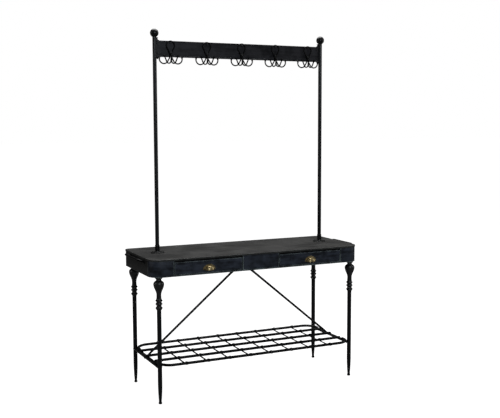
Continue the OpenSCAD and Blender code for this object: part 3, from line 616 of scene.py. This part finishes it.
# the pans as inset and distance from the face, or from the floor of the tray
front_corner_r, tray_corner_r = 0.0022, 0.003
front_pan = [(0.0026, 0.0), (0.0014, 0.0001), (0.0006, 0.0005), (0.0001, 0.0013), (0.0, 0.0022),
             (0.0, 0.0134), (0.0003, 0.0139), (0.001, 0.014), (0.0017, 0.0139), (0.002, 0.0134),
             (0.002, 0.0028), (0.0026, 0.002)]
for side in ("left", "right"):
    body = "drawer_" + side
    node = body + "_front"
    low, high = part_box(node)
    ring_of = rounded_ring((low.x, low.z), (high.x, high.z), front_corner_r)
    verts, faces = ring_shell(ring_of, front_pan, lambda x, z, d: (x, low.y + d, z))
    front = join_meshes("folded_front_" + side, [(verts, faces)], drawer_steel, 28)
    fit(front, body, "apron_steel", node)

    node = body + "_tray"
    low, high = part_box(node)
    ring_of = rounded_ring((low.x, low.y), (high.x, high.y), tray_corner_r)
    tall = high.z - low.z
    tray_pan = [(0.002, 0.0), (0.0006, 0.0003), (0.0, 0.0012), (0.0, tall - 0.0006),
                (0.0004, tall), (0.0016, tall), (0.002, tall - 0.0006), (0.002, 0.003),
                (0.003, 0.002)]
    verts, faces = ring_shell(ring_of, tray_pan, lambda x, y, d: (x, y, low.z + d))
    tray = join_meshes("sheet_tray_" + side, [(verts, faces)], zinc_steel, 28)
    fit(tray, body, "plain_steel", node)

# ---- Cup pulls ----
# A cast brass half-cup on a thin flange, held by two round-headed screws. The brass has aged
# to brown in the hollows and shines where fingers rub the dome.
aged_brass = blackened("aged_brass", (0.26, 0.19, 0.085), (0.46, 0.36, 0.18), (0.80, 0.70, 0.46),
                       gloss=0.34, shine=0.5, grain=(24, 24, 24), mottle=14.0, edge=0.0014,
                       rub=0.35, pitted=0.05, pit_size=500.0, streaks=0.1, metal=0.72)


def cup_parts(mid_x, face_y, foot_z, half_width, reach, lip, back):
    """The cup, from its open lower edge round to the flange, and the flange as a flat arch."""
    across, around, metal_t = 40, 18, 0.0014
    drop, lead = 0.0008, 0.0003
    verts, faces = [], []
    sheets = []
    for inset in (0.0, metal_t):
        rows = []
        for i in range(across + 1):
            t = -1 + 2 * i / across
            t = math.sin(t * math.pi / 2)
            x = t * (half_width - inset)
            rho = (reach - inset) * max(1 - abs(t) ** 2.2, 0) ** 0.56
            row = []
            for j in range(-1, around + 1):
                a = math.pi / 2 * max(j, 0) / around
                y = face_y - max(rho * math.cos(a), 0.0)
                z = foot_z + rho * math.sin(a) + (0.0 if j >= 0 else -drop)
                rolled = j < 0 and inset == 0 and rho > 0.004
                row.append(len(verts))
                verts.append((mid_x + x, y - (lead if rolled else 0), z))
            rows.append(row)
        sheets.append(rows)
    for k, rows in enumerate(sheets):
        for a, b in zip(rows, rows[1:]):
            for j in range(len(a) - 1):
                ring = (a[j], b[j], b[j + 1], a[j + 1])
                faces.append(ring if k == 0 else ring[::-1])
    for edge in (0, -1):
        outer_edge = [row[edge] for row in sheets[0]]
        inner_edge = [row[edge] for row in sheets[1]]
        for i in range(across):
            faces.append((outer_edge[i], outer_edge[i + 1], inner_edge[i + 1], inner_edge[i]))
    for row in (0, -1):
        a, b = sheets[0][row], sheets[1][row]
        for j in range(len(a) - 1):
            faces.append((a[j], a[j + 1], b[j + 1], b[j]))
    cup = (verts, faces)

    verts, faces = [], []
    steps = 48
    section = [(1.0, 0.0), (1.0, 0.6), (0.985, 0.9), (0.965, 1.0),
               (0.02, 1.0), (0.0, 0.9), (0.0, 0.0)]
    for i in range(steps + 1):
        a = math.pi * i / steps
        outer_p = ((half_width + lip) * math.cos(a), (reach + lip) * math.sin(a) ** 0.9)
        inner_p = ((half_width - 0.002) * math.cos(a), (reach - 0.003) * math.sin(a) ** 0.9)
        for share, rise in section:
            x = inner_p[0] + (outer_p[0] - inner_p[0]) * share
            z = inner_p[1] + (outer_p[1] - inner_p[1]) * share
            verts.append((mid_x + x, face_y - back * rise, foot_z + z))
    n = len(section)
    for i in range(steps):
        for k in range(n):
            m = (k + 1) % n
            faces.append((i * n + k, i * n + m, (i + 1) * n + m, (i + 1) * n + k))
    faces.append(tuple(range(n)))
    faces.append(tuple(range(steps * n, steps * n + n))[::-1])
    return [cup, (verts, faces)]


def round_head(centre, radius, rise):
    """A round screw head facing the front, with a narrow slot across it."""
    way, upward = Vector((0, -1, 0)), Vector((0, 0, 1))
    other = way.cross(upward)
    slot, slot_depth, steps = 0.16, 0.45, 32
    verts, faces, rings = [], [], []
    for share in (1.0, 1.0, 0.97, 0.88, 0.7, 0.45, 0.2):
        level = 0.0 if not rings else 0.25 + 0.75 * math.sqrt(max(1 - share * share, 0))
        ring = []
        for i in range(steps):
            a = 2 * math.pi * i / steps
            u, v = share * math.cos(a), share * math.sin(a)
            cut = slot_depth if len(rings) > 1 and abs(u) < slot else 0.0
            p = Vector(centre) + radius * (u * upward + v * other)
            p += way * rise * max(level - cut, 0)
            ring.append(len(verts))
            verts.append(tuple(p))
        rings.append(ring)
    for a, b in zip(rings, rings[1:]):
        for i in range(steps):
            j = (i + 1) % steps
            faces.append((a[i], a[j], b[j], b[i]))
    faces.append(tuple(rings[-1]))
    faces.append(tuple(rings[0][::-1]))
    return verts, faces


pull_lip, pull_back, crown_gap = 0.006, 0.0016, 0.0004
head_r, head_rise = 0.0027, 0.0014
for side in ("left", "right"):
    body = "drawer_" + side
    low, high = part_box("cup_pull_" + side)
    face_y = high.y
    mid_x, half_cup = (low.x + high.x) / 2, (high.x - low.x) / 2 - pull_lip
    reach = high.z - low.z - pull_lip - crown_gap
    parts = cup_parts(mid_x, face_y, low.z, half_cup, reach, pull_lip, pull_back)
    cup = join_meshes("brass_cup_" + side, parts, aged_brass, 40)
    fit(cup, body, "aged_brass", "cup_pull_" + side)
    low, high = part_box("pull_screws_" + side)
    z = (low.z + high.z) / 2
    heads = [round_head((x, face_y - pull_back, z), head_r, head_rise)
             for x in (low.x + head_r, high.x - head_r)]
    screws = join_meshes("brass_screws_" + side, heads, aged_brass, 40)
    fit(screws, body, "aged_brass", "pull_screws_" + side)

# ---- Shelf ----
# Five round rods run the length of the shelf; the outer two bend round at its corners. Eight
# thin strips are pressed over the rods, and a flat bar at each end ties the shelf to the legs.
rod_black = blackened("rod_black", (0.0022, 0.0023, 0.0026), (0.0085, 0.009, 0.010),
                      (0.09, 0.10, 0.10), gloss=0.38, shine=0.32, grain=(3, 70, 70), mottle=12.0,
                      edge=0.0012, rub=0.55, pitted=0.3, pit_size=420.0, streaks=0.4)


def new_tree(name, inputs):
    """An empty geometry tree with named inputs; gives back the tree, its inputs and its output."""
    tree = bpy.data.node_groups.new(name, "GeometryNodeTree")
    tree.interface.new_socket("Geometry", in_out="INPUT", socket_type="NodeSocketGeometry")
    for label, kind in inputs:
        tree.interface.new_socket(label, in_out="INPUT", socket_type="NodeSocket" + kind)
    tree.interface.new_socket("Geometry", in_out="OUTPUT", socket_type="NodeSocketGeometry")
    return tree, tree.nodes.new("NodeGroupInput").outputs, tree.nodes.new("NodeGroupOutput")


def grow(tree, values, verts, edges=(), faces=(), name="piece"):
    """Runs a geometry tree on a small mesh and gives back the finished piece as a plain mesh."""
    mesh = bpy.data.meshes.new(name)
    mesh.from_pydata([tuple(v) for v in verts], list(edges), list(faces))
    seed = bpy.data.objects.new(name + "_seed", mesh)
    scene.collection.objects.link(seed)
    step = seed.modifiers.new("shape", "NODES")
    step.node_group = tree
    for socket in tree.interface.items_tree:
        if socket.in_out == "INPUT" and socket.name in values:
            step[socket.identifier] = values[socket.name]
    bpy.context.view_layer.update()
    graph = bpy.context.evaluated_depsgraph_get()
    grown = bpy.data.meshes.new_from_object(seed.evaluated_get(graph))
    seed.modifiers.clear()
    bpy.data.objects.remove(seed)
    grown.name = name
    obj = bpy.data.objects.new(name, grown)
    scene.collection.objects.link(obj)
    return obj


def bent_wire_tree():
    """Edges become round wire, bent at every corner, with a ball on every free end if wanted."""
    tree, given, out = new_tree("bent_wire", (("Wire radius", "Float"), ("Bend radius", "Float"),
                                              ("Bend steps", "Int"), ("Ball radius", "Float"),
                                              ("Finish", "Material")))
    new, link = tree.nodes.new, tree.links.new
    curve = new("GeometryNodeMeshToCurve")
    bend = new("GeometryNodeFilletCurve")
    bend.mode = "POLY"
    round_wire = new("GeometryNodeCurveToMesh")
    round_wire.inputs["Fill Caps"].default_value = True
    circle = new("GeometryNodeCurvePrimitiveCircle")
    circle.inputs["Resolution"].default_value = 20
    link(given["Geometry"], curve.inputs["Mesh"])
    link(curve.outputs["Curve"], bend.inputs["Curve"])
    link(given["Bend radius"], bend.inputs["Radius"])
    link(given["Bend steps"], bend.inputs["Count"])
    link(bend.outputs["Curve"], round_wire.inputs["Curve"])
    link(given["Wire radius"], circle.inputs["Radius"])
    link(circle.outputs["Curve"], round_wire.inputs["Profile Curve"])
    ends = new("GeometryNodeCurveEndpointSelection")
    ball = new("GeometryNodeMeshUVSphere")
    ball.inputs["Segments"].default_value = 28
    ball.inputs["Rings"].default_value = 18
    link(given["Ball radius"], ball.inputs["Radius"])
    put = new("GeometryNodeInstanceOnPoints")
    link(bend.outputs["Curve"], put.inputs["Points"])
    link(ends.outputs["Selection"], put.inputs["Selection"])
    link(ball.outputs["Mesh"], put.inputs["Instance"])
    real = new("GeometryNodeRealizeInstances")
    link(put.outputs["Instances"], real.inputs["Geometry"])
    both = new("GeometryNodeJoinGeometry")
    link(round_wire.outputs["Mesh"], both.inputs["Geometry"])
    link(real.outputs["Geometry"], both.inputs["Geometry"])
    paint = new("GeometryNodeSetMaterial")
    link(both.outputs["Geometry"], paint.inputs["Geometry"])
    link(given["Finish"], paint.inputs["Material"])
    link(paint.outputs["Geometry"], out.inputs["Geometry"])
    return tree


def row_tree():
    """Repeats a small mesh in a straight row."""
    tree, given, out = new_tree("row", (("Count", "Int"), ("First", "Vector"), ("Step", "Vector"),
                                        ("Finish", "Material")))
    new, link = tree.nodes.new, tree.links.new
    line = new("GeometryNodeMeshLine")
    line.mode = "OFFSET"
    link(given["Count"], line.inputs["Count"])
    link(given["First"], line.inputs["Start Location"])
    link(given["Step"], line.inputs["Offset"])
    put = new("GeometryNodeInstanceOnPoints")
    link(line.outputs["Mesh"], put.inputs["Points"])
    link(given["Geometry"], put.inputs["Instance"])
    real = new("GeometryNodeRealizeInstances")
    link(put.outputs["Instances"], real.inputs["Geometry"])
    paint = new("GeometryNodeSetMaterial")
    link(real.outputs["Geometry"], paint.inputs["Geometry"])
    link(given["Finish"], paint.inputs["Material"])
    link(paint.outputs["Geometry"], out.inputs["Geometry"])
    return tree


bent_wire, row = bent_wire_tree(), row_tree()


def smoothed(obj, crease):
    obj.data.shade_smooth()
    obj.data.set_sharp_from_angle(angle=math.radians(crease))
    return obj


def wire(name, paths, radius, bend, finish, ball=0.0, steps=14):
    """Round wire along one or several open paths."""
    verts, edges = [], []
    for path in paths:
        edges += [(len(verts) + i, len(verts) + i + 1) for i in range(len(path) - 1)]
        verts += path
    values = {"Wire radius": radius, "Bend radius": bend, "Bend steps": steps,
              "Ball radius": max(ball, radius * 0.6), "Finish": finish}
    obj = grow(bent_wire, values, verts, edges, name=name)
    mend_outward(obj)
    return smoothed(obj, 40)


def taken_apart(obj):
    """The points and faces of a piece that is used up in making another."""
    mesh = obj.data
    parts = [tuple(v.co) for v in mesh.vertices], [tuple(p.vertices) for p in mesh.polygons]
    bpy.data.objects.remove(obj)
    return parts


def repeat(name, source, count, first, step, finish, crease=35.0):
    """A row of copies of a piece, which is used up."""
    verts, faces = taken_apart(source)
    values = {"Count": count, "First": first, "Step": step, "Finish": finish}
    return smoothed(grow(row, values, verts, faces=faces, name=name), crease)


low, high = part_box("shelf_front_rod")
rod_r = (high.z - low.z) / 2
shelf_z = (low.z + high.z) / 2
shelf_bend = 0.070
for node, edge in (("shelf_front_rod", 0), ("shelf_back_rod", 1)):
    low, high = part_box(node)
    y = high.y - rod_r if edge else low.y + rod_r
    back = low.y if edge else high.y
    x = high.x - rod_r
    path = [(-x, back, shelf_z), (-x, y, shelf_z), (x, y, shelf_z), (x, back, shelf_z)]
    rod = wire("bent_" + node[6:], [path], rod_r, shelf_bend, rod_black)
    fit(rod, "frame", "black_steel", node)
low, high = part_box("shelf_inner_rods")
mid_rod = (low.y + high.y) / 2
rod_gap = (high.y - low.y) / 2 - rod_r
rows_y = [mid_rod + k * rod_gap for k in (-1, 0, 1)]
straight_paths = [[(low.x, y, shelf_z), (high.x, y, shelf_z)] for y in rows_y]
rods = wire("straight_rods", straight_paths, rod_r, 0.001, rod_black)
fit(rods, "frame", "black_steel", "shelf_inner_rods")

low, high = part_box("shelf_cross_strips")
strip_w, half_t, strip_edge, strip_count = 0.011, 0.0012, 0.0005, 8
arch_r, flat_z = rod_r + 0.00125, low.z + 0.00125
foot, foot_rise = 0.0012, 0.0004
front_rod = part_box("shelf_front_rod")[0].y + rod_r
back_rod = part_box("shelf_back_rod")[1].y - rod_r
line = []
for y in [front_rod] + rows_y + [back_rod]:
    after_first, before_last = y > front_rod + rod_r, y < back_rod - rod_r
    if after_first:
        line += [(y - arch_r - foot, flat_z), (y - arch_r - foot_rise, flat_z + foot_rise)]
    line.append((y - arch_r, flat_z + foot if after_first else flat_z))
    line += [(y - arch_r * math.cos(math.radians(a)), shelf_z + arch_r * math.sin(math.radians(a)))
             for a in range(0, 181, 12)]
    line.append((y + arch_r, flat_z + foot if before_last else flat_z))
    if before_last:
        line += [(y + arch_r + foot_rise, flat_z + foot_rise), (y + arch_r + foot, flat_z)]
outer, inner = strip_w / 2, strip_w / 2 - strip_edge
section = [(-outer, -0.6), (-inner, -1), (inner, -1), (outer, -0.6),
           (outer, 0.6), (inner, 1), (-inner, 1), (-outer, 0.6)]
verts = []
for k, here in enumerate(line):
    a, b = Vector(line[max(k - 1, 0)]), Vector(line[min(k + 1, len(line) - 1)])
    along = (b - a).normalized()
    up = Vector((-along.y, along.x))
    for x, lift in section:
        p = Vector(here) + up * lift * half_t
        verts.append((x, p.x, p.y))
faces = skin(len(line), len(section), True)
one_strip = join_meshes("one_strip", [(verts, faces)], rod_black)
strip_pitch = (high.x - low.x - strip_w) / (strip_count - 1)
strips = repeat("pressed_strips", one_strip, strip_count, (low.x + strip_w / 2, 0, 0),
                (strip_pitch, 0, 0), rod_black)
fit(strips, "frame", "black_steel", "shelf_cross_strips")


def soften(obj, width):
    """Breaks the sharp edges of a closed piece."""
    work = bmesh.new()
    work.from_mesh(obj.data)
    bmesh.ops.remove_doubles(work, verts=work.verts, dist=1e-6)
    bmesh.ops.recalc_face_normals(work, faces=work.faces)
    sharp = [e for e in work.edges if len(e.link_faces) == 2
             and e.calc_face_angle(0) > math.radians(30)]
    bmesh.ops.bevel(work, geom=sharp, offset=width, segments=2, profile=0.6,
                    affect="EDGES", clamp_overlap=True)
    work.to_mesh(obj.data)
    work.free()
    return smoothed(obj, 40)


def plate(name, outline, low_side, high_side, place, finish, width=0.0005):
    """Flat plate cut to an outline, its edges broken."""
    n = len(outline)
    verts = [place(u, v, side) for side in (low_side, high_side) for u, v in outline]
    faces = [tuple(range(n))[::-1], tuple(range(n, 2 * n))]
    faces += [(i, (i + 1) % n, (i + 1) % n + n, i + n) for i in range(n)]
    obj = new_object(name, verts, faces, finish)
    mend_outward(obj)
    return soften(obj, width)


notch_r = middle_and_reach(*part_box("leg_tube_fl"))[2] + 0.0002
notch = [math.radians(a) for a in range(15, 180, 15)]
for side in ("left", "right"):
    low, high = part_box("shelf_side_bar_" + side)
    mid_x = (low.x + high.x) / 2
    outline = [(low.x, low.y), (mid_x - notch_r, low.y)]
    outline += [(mid_x - notch_r * math.cos(a), low.y + notch_r * math.sin(a)) for a in notch]
    outline += [(mid_x + notch_r, low.y), (high.x, low.y),
                (high.x, high.y), (mid_x + notch_r, high.y)]
    outline += [(mid_x + notch_r * math.cos(a), high.y - notch_r * math.sin(a)) for a in notch]
    outline += [(mid_x - notch_r, high.y), (low.x, high.y)]
    bar = plate("flat_bar_" + side, outline, low.z, high.z, lambda x, y, z: (x, y, z), rod_black)
    fit(bar, "frame", "black_steel", "shelf_side_bar_" + side)

# ---- Braces ----
# Two round rods run from the shelf's end bars up to a bar under the middle of the table. Both
# ends of each are beaten flat: a foot on the end bar, and a broad eye that a bolt holds.
brace_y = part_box("hook_post_left")[0].y + 0.013


def forged(name, path, finish, around=28):
    """A bar whose section follows a path of (x, y, z, half depth, half height, squareness)."""
    verts = []
    for k, (x, y, z, deep, tall, square) in enumerate(path):
        a, b = path[max(k - 1, 0)], path[min(k + 1, len(path) - 1)]
        along = Vector((b[0] - a[0], 0, b[2] - a[2])).normalized()
        up = Vector((-along.z, 0, along.x))
        for i in range(around):
            t = 2 * math.pi * i / around
            c, s = math.cos(t), math.sin(t)
            u = math.copysign(abs(c) ** (2 / square), c)
            v = math.copysign(abs(s) ** (2 / square), s)
            p = Vector((x, y, z)) + Vector((0, 1, 0)) * deep * u + up * tall * v
            verts.append(tuple(p))
    obj = new_object(name, verts, skin(len(path), around, True), finish, 42)
    mend_outward(obj)
    return obj


brace_black = blackened("brace_black", (0.0022, 0.0023, 0.0026), (0.009, 0.009, 0.010),
                        (0.09, 0.10, 0.095), gloss=0.42, shine=0.32, grain=(14, 14, 14),
                        mottle=40.0, edge=0.002, rub=0.6, pitted=0.5, pit_size=240.0, streaks=0.2)
# each row is a place on the foot, bar or eye, then half depth, half height and squareness
bar_r, blade, eye_z, eye_end, cross_over = 0.00625, 0.002, 0.6545, -0.008, 0.004
foot_line = [(0.588, 0, 0.005, 0.0014, 3), (0.5868, 0, 0.0072, 0.0019, 4),
             (0.584, 0, 0.008, blade, 5), (0.577, 0, 0.008, blade, 5),
             (0.5685, 0.0008, 0.0079, 0.0024, 4), (0.5615, 0.0050, 0.0076, 0.0036, 3)]
bar_line = ((0.0, 0.0071, 0.0050), (0.02, 0.0065, 0.0060), (0.04, bar_r, bar_r),
            (0.92, bar_r, bar_r), (0.95, 0.0056, 0.0066), (0.98, 0.0042, 0.0078),
            (1.0, 0.0031, 0.0088))
eye_line = [(0.036, 0.6428, 0.0023, 0.0101, 2.6), (0.029, 0.6480, blade, 0.0114, 3),
            (0.021, 0.6520, blade, 0.0122, 4), (0.012, eye_z, blade, 0.0126, 4),
            (0.0, eye_z, blade, 0.0126, 4), (eye_end + 0.003, eye_z, blade, 0.0118, 4),
            (eye_end + 0.001, eye_z, 0.0018, 0.0105, 4), (eye_end, eye_z, 0.0014, 0.0092, 4)]
for side, s in (("left", -1), ("right", 1)):
    foot_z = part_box("brace_" + side)[0].z + blade
    eye_y = brace_y + s * cross_over
    path = [(x, brace_y, foot_z + rise, *rest) for x, rise, *rest in foot_line]
    foot, head = Vector((0.5530, brace_y, foot_z + 0.0115)), Vector((0.044, eye_y, 0.6362))
    for share, deep, tall in bar_line:
        path.append((*foot.lerp(head, share), deep, tall, 2.2))
    path += [(x, eye_y, *rest) for x, *rest in eye_line]
    path = [(s * x, *rest) for x, *rest in path]
    brace = forged("forged_brace_" + side, path, brace_black)
    fit(brace, "frame", "black_steel", "brace_" + side)

bolt_steel = blackened("bolt_steel", (0.02, 0.02, 0.02), (0.05, 0.05, 0.048), (0.25, 0.25, 0.24),
                       gloss=0.4, shine=0.5, grain=(40, 40, 40), mottle=60.0, edge=0.0012,
                       rub=0.6, pitted=0.3, pit_size=600.0, streaks=0.2, metal=0.5)
paint_nodes(bolt_steel, "brace_bolts", "rail_bolts", "hook_screws", "flange_screws")

# ---- Hook posts ----
# Two steel tubes stand in turned sockets at the back of the table. Each socket is a cast flange
# held by four screws, and a spun ball closes the top of each tube.
post_black = blackened("post_black", (0.0024, 0.0026, 0.003), (0.010, 0.0115, 0.0125),
                       (0.09, 0.10, 0.10), gloss=0.34, shine=0.38, grain=(80, 80, 2.5),
                       mottle=7.0, edge=0.002, rub=0.5, pitted=0.25, pit_size=380.0, streaks=0.5)
ball_black = blackened("ball_black", (0.0018, 0.0019, 0.0021), (0.005, 0.0055, 0.006),
                       (0.05, 0.055, 0.055), gloss=0.28, shine=0.34, grain=(12, 12, 40),
                       mottle=26.0, edge=0.003, rub=0.4, pitted=0.5, pit_size=300.0, streaks=0.2)
tube_edge, spigot, wall_t = 0.0006, 0.016, 0.0022
for side in ("left", "right"):
    low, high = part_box("hook_post_" + side)
    x, y, r = middle_and_reach(low, high)
    post_top = high.z
    line = [(0, low.z), (r - tube_edge, low.z), (r, low.z + tube_edge)]
    line += [(r, low.z + (post_top - low.z) * k / 8) for k in range(1, 8)]
    line += [(r, post_top - tube_edge), (r - tube_edge, post_top), (0, post_top)]
    verts, faces = turned_mesh(line, x, y, 48)
    post = new_object("post_tube_" + side, verts, faces, post_black)
    fit(post, "frame", "black_steel", "hook_post_" + side)

    low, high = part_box("post_flange_" + side)
    neck = 1000 * (r + 0.0001)
    shape = [(0.0, 0.0), (36.2, 0.0), (36.8, 0.5), (37.0, 1.4), (36.7, 2.6), (35.6, 3.6), (34.0, 4.0)]
    shape += eased([(neck + 7.0, 4.0), (neck + 5.4, 4.4), (neck + 4.0, 5.8), (neck + 3.1, 8.4),
                    (neck + 2.5, 12.0), (neck + 2.3, 20.0), (neck + 2.1, 34.0)], 3)
    shape += eased([(neck + 2.0, 39.4), (neck + 1.7, 41.0), (neck + 1.2, 41.8),
                    (neck + 0.6, 42.0)], 2)
    shape += [(neck + 0.1, 41.7), (neck, 41.0), (neck, 4.2), (0.0, 4.1)]
    line = [(a / 1000, low.z + b / 1000) for a, b in shape]
    verts, faces = turned_mesh(line, x, y, 64)
    flange = new_object("turned_flange_" + side, verts, faces, ball_black)
    fit(flange, "frame", "black_cast_iron", "post_flange_" + side)

    low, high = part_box("ball_finial_" + side)
    r_ball = (high.x - low.x) / 2
    ball_z = high.z - r_ball
    first = math.degrees(math.asin((post_top - ball_z) / r_ball))
    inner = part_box("hook_post_" + side)[1].x - x - wall_t
    line = [(0, post_top - spigot), (inner, post_top - spigot), (inner, post_top + 0.0001)]
    line += [(r_ball * math.cos(math.radians(a)), ball_z + r_ball * math.sin(math.radians(a)))
             for a in [first + (90 - first) * k / 36 for k in range(37)]]
    line[-1] = (0, high.z)
    verts, faces = turned_mesh(line, x, y, 64)
    ball = new_object("spun_ball_" + side, verts, faces, ball_black)
    fit(ball, "frame", "black_cast_iron", "ball_finial_" + side)

# ---- Hook rail ----
# One rolled bar with a raised lip along both long edges, bolted to a pointed plate that is
# welded to each post. The face is blue-black, with the lips worn grey along their crests.
rail_steel = blackened("rail_steel", (0.0105, 0.0105, 0.0125), (0.031, 0.030, 0.035),
                       (0.10, 0.11, 0.11), gloss=0.42, shine=0.30, grain=(6, 60, 60), mottle=20.0,
                       edge=0.003, rub=0.7, pitted=0.25, pit_size=320.0, streaks=0.55)
low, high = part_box("hook_rail")
rail_front, rail_back, rail_low, rail_high = low.y, high.y, low.z, high.z
web_y, rail_edge, end_edge, rail_steps = rail_front + 0.0025, 0.0005, 0.0006, 20


def lip_line(edge_z, into):
    """The rounded lip at one edge of the rail, from the edge towards the middle."""
    return [(rail_front + 0.0012, edge_z), (rail_front + 0.0004, edge_z + into * 0.0003),
            (rail_front, edge_z + into * 0.0012), (rail_front, edge_z + into * 0.0058),
            (rail_front + 0.0004, edge_z + into * 0.0070),
            (rail_front + 0.0012, edge_z + into * 0.0078), (web_y, edge_z + into * 0.0080)]


profile = [(rail_back - rail_edge, rail_low)] + lip_line(rail_low, 1) + lip_line(rail_high, -1)[::-1]
profile += [(rail_back - rail_edge, rail_high), (rail_back, rail_high - rail_edge),
            (rail_back, rail_low + rail_edge)]
stations = [low.x, low.x + end_edge]
stations += [low.x + (high.x - low.x) * k / rail_steps for k in range(1, rail_steps)]
stations += [high.x - end_edge, high.x]
mid = Vector((web_y + 0.0015, (rail_low + rail_high) / 2))
verts = []
for k, x in enumerate(stations):
    tuck = rail_edge if k in (0, len(stations) - 1) else 0.0
    for y, z in profile:
        verts.append((x, y + (tuck if y < mid.x else -tuck), z - tuck * (1 if z > mid.y else -1)))
faces = skin(len(stations), len(profile))
rail = join_meshes("rolled_rail", [(verts, faces)], rail_steel, 30)
fit(rail, "frame", "apron_steel", "hook_rail")
post_x, post_r = middle_and_reach(*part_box("hook_post_right"))[::2]
tip_x = post_x - post_r + 0.0004
ear = [(post_x - 0.033, rail_low + 0.004), (post_x - 0.023, rail_low - 0.002),
       (post_x - 0.020, rail_low - 0.012), (tip_x, rail_low - 0.0086), (tip_x, rail_high + 0.0174),
       (post_x - 0.022, rail_high + 0.015), (post_x - 0.017, rail_high + 0.008),
       (post_x - 0.033, rail_high - 0.004)]
for side, s in (("left", -1), ("right", 1)):
    low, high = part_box("rail_bracket_" + side)
    ears = plate("pointed_plate_" + side, [(s * x, z) for x, z in ear], low.y + 0.00005, high.y,
                 lambda x, z, y: (x, y, z), ball_black)
    fit(ears, "frame", "black_steel", "rail_bracket_" + side)

# ---- Coat hooks ----
# Five hooks of round wire, each with a tall loop over the rail, two wide prongs against it and
# two narrow prongs in front, all gathered in one knot. The tips are upset into small balls.
hook_black = blackened("hook_black", (0.0012, 0.0012, 0.0013), (0.003, 0.003, 0.0032),
                       (0.03, 0.033, 0.033), gloss=0.42, shine=0.14, grain=(40, 40, 40),
                       mottle=40.0, edge=0.0008, rub=0.15, pitted=0.2, pit_size=420.0,
                       streaks=0.2)
hook_r, tip_ball_r, loop_r = 0.0035, 0.005, 0.0225
wire_y = rail_front - hook_r
front_y = wire_y - 0.0075
neck_z = rail_low + 0.009
loop_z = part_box("hook_3")[1].z - hook_r - loop_r


def leaving(centre, radius, start, hand):
    """Where a straight line from start touches a circle, as an angle about the centre."""
    dx, dz = start[0] - centre[0], start[1] - centre[1]
    far = math.hypot(dx, dz)
    return math.atan2(dz, dx) + hand * math.acos(radius / far)


bend_steps = 30


def prong(centre, radius, last, tip=None):
    """Points from the knot down into a bend and up to the tip, on the right-hand side."""
    first = leaving(centre, radius, (0.0, neck_z), 1)
    if tip:
        last = leaving(centre, radius, tip, -1)
    while first > last:
        first -= 2 * math.pi
    points = [(0.0, neck_z)]
    for k in range(bend_steps + 1):
        a = first + (last - first) * k / bend_steps
        points.append((centre[0] + radius * math.cos(a), centre[1] + radius * math.sin(a)))
    if tip:
        points.append(tip)
    return points


wide = prong((0.039, rail_low - 0.009), 0.025, math.radians(14))
narrow = prong((0.014, rail_low - 0.020), 0.012, 0.0, (0.038, rail_low + 0.006))
reach = loop_z - neck_z
lean = math.asin(loop_r / reach)
loop = [(0.0, neck_z)]
for k in range(41):
    a = -lean + (math.pi + 2 * lean) * k / 40
    loop.append((loop_r * math.cos(a), loop_z + loop_r * math.sin(a)))
wall_path = [(-x, z) for x, z in wide[::-1]][:-1] + loop + wide
front_path = [(-x, z) for x, z in narrow[::-1]][:-1] + narrow
hook_paths = [[(x, wire_y, z) for x, z in wall_path], [(x, front_y, z) for x, z in front_path]]
one_hook = wire("one_hook", hook_paths, hook_r, 0.0001, hook_black, ball=tip_ball_r, steps=1)
knot_r, knot_half, knot_y = 0.0072, 0.0068, wire_y - 0.0042
knot_line = [(knot_r * math.cos(math.radians(a)), knot_half * math.sin(math.radians(a)))
             for a in range(-80, 81, 10)]
verts, faces = turned_mesh([(0.0, -knot_half)] + knot_line + [(0.0, knot_half)], 0, 0, 32)
knot = [(x, knot_y + z * 0.95, neck_z + y) for x, y, z in verts]
one_hook = join_meshes("one_hook", [taken_apart(one_hook), (knot, faces)], hook_black, 50)
pitch = (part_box("hook_5")[0].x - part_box("hook_1")[0].x) / 4
hooks = repeat("wire_hooks", one_hook, 5, (-2 * pitch, 0, 0), (pitch, 0, 0), hook_black, 50)
fit(hooks, "frame", "hook_wire", "hook_1", "hook_2", "hook_3", "hook_4", "hook_5")

# ---- Towel bars ----
# A bent rod at each end of the table, set through the end wall at a slant with a turned
# rosette round each arm.
wall_x, towel_r, towel_bend, base_z, half_bar = 0.6195, 0.006, 0.020, 0.738, 0.112
tilt, arm, tail, root = math.radians(18), 0.036, 0.013, 0.002
rose = eased([(0.0, 0.0), (13.0, 0.0), (13.0, 1.2), (12.2, 2.2), (11.2, 2.4), (10.4, 3.0),
              (8.6, 3.8), (7.0, 4.0)], 2)
rose_line = [(a / 1000, b / 1000) for a, b in rose] + [(0.0, 0.004)]
for side, s in (("left", -1), ("right", 1)):
    low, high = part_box("towel_bar_" + side)
    mid = (low.y + high.y) / 2
    arm_line = ((-tail, 0.0), (root, 0.0), (arm * math.cos(tilt), arm * math.sin(tilt)))
    front_arm, back_arm = [[(s * (wall_x + out), mid + e * half_bar, base_z + rise)
                            for out, rise in arm_line] for e in (-1, 1)]
    path = front_arm + back_arm[::-1]
    bar = wire("bent_towel_bar_" + side, [path], towel_r, towel_bend, hook_black)
    parts = []
    for e in (-1, 1):
        verts, faces = turned_mesh(rose_line, 0, 0, 48)
        verts = [(s * (wall_x + z), mid + e * half_bar + y, base_z + x) for x, y, z in verts]
        parts.append((verts, faces))
    parts.append(taken_apart(bar))
    whole = join_meshes("towel_bar_and_roses_" + side, parts, hook_black, 35)
    fit(whole, "frame", "black_steel", "towel_bar_" + side)
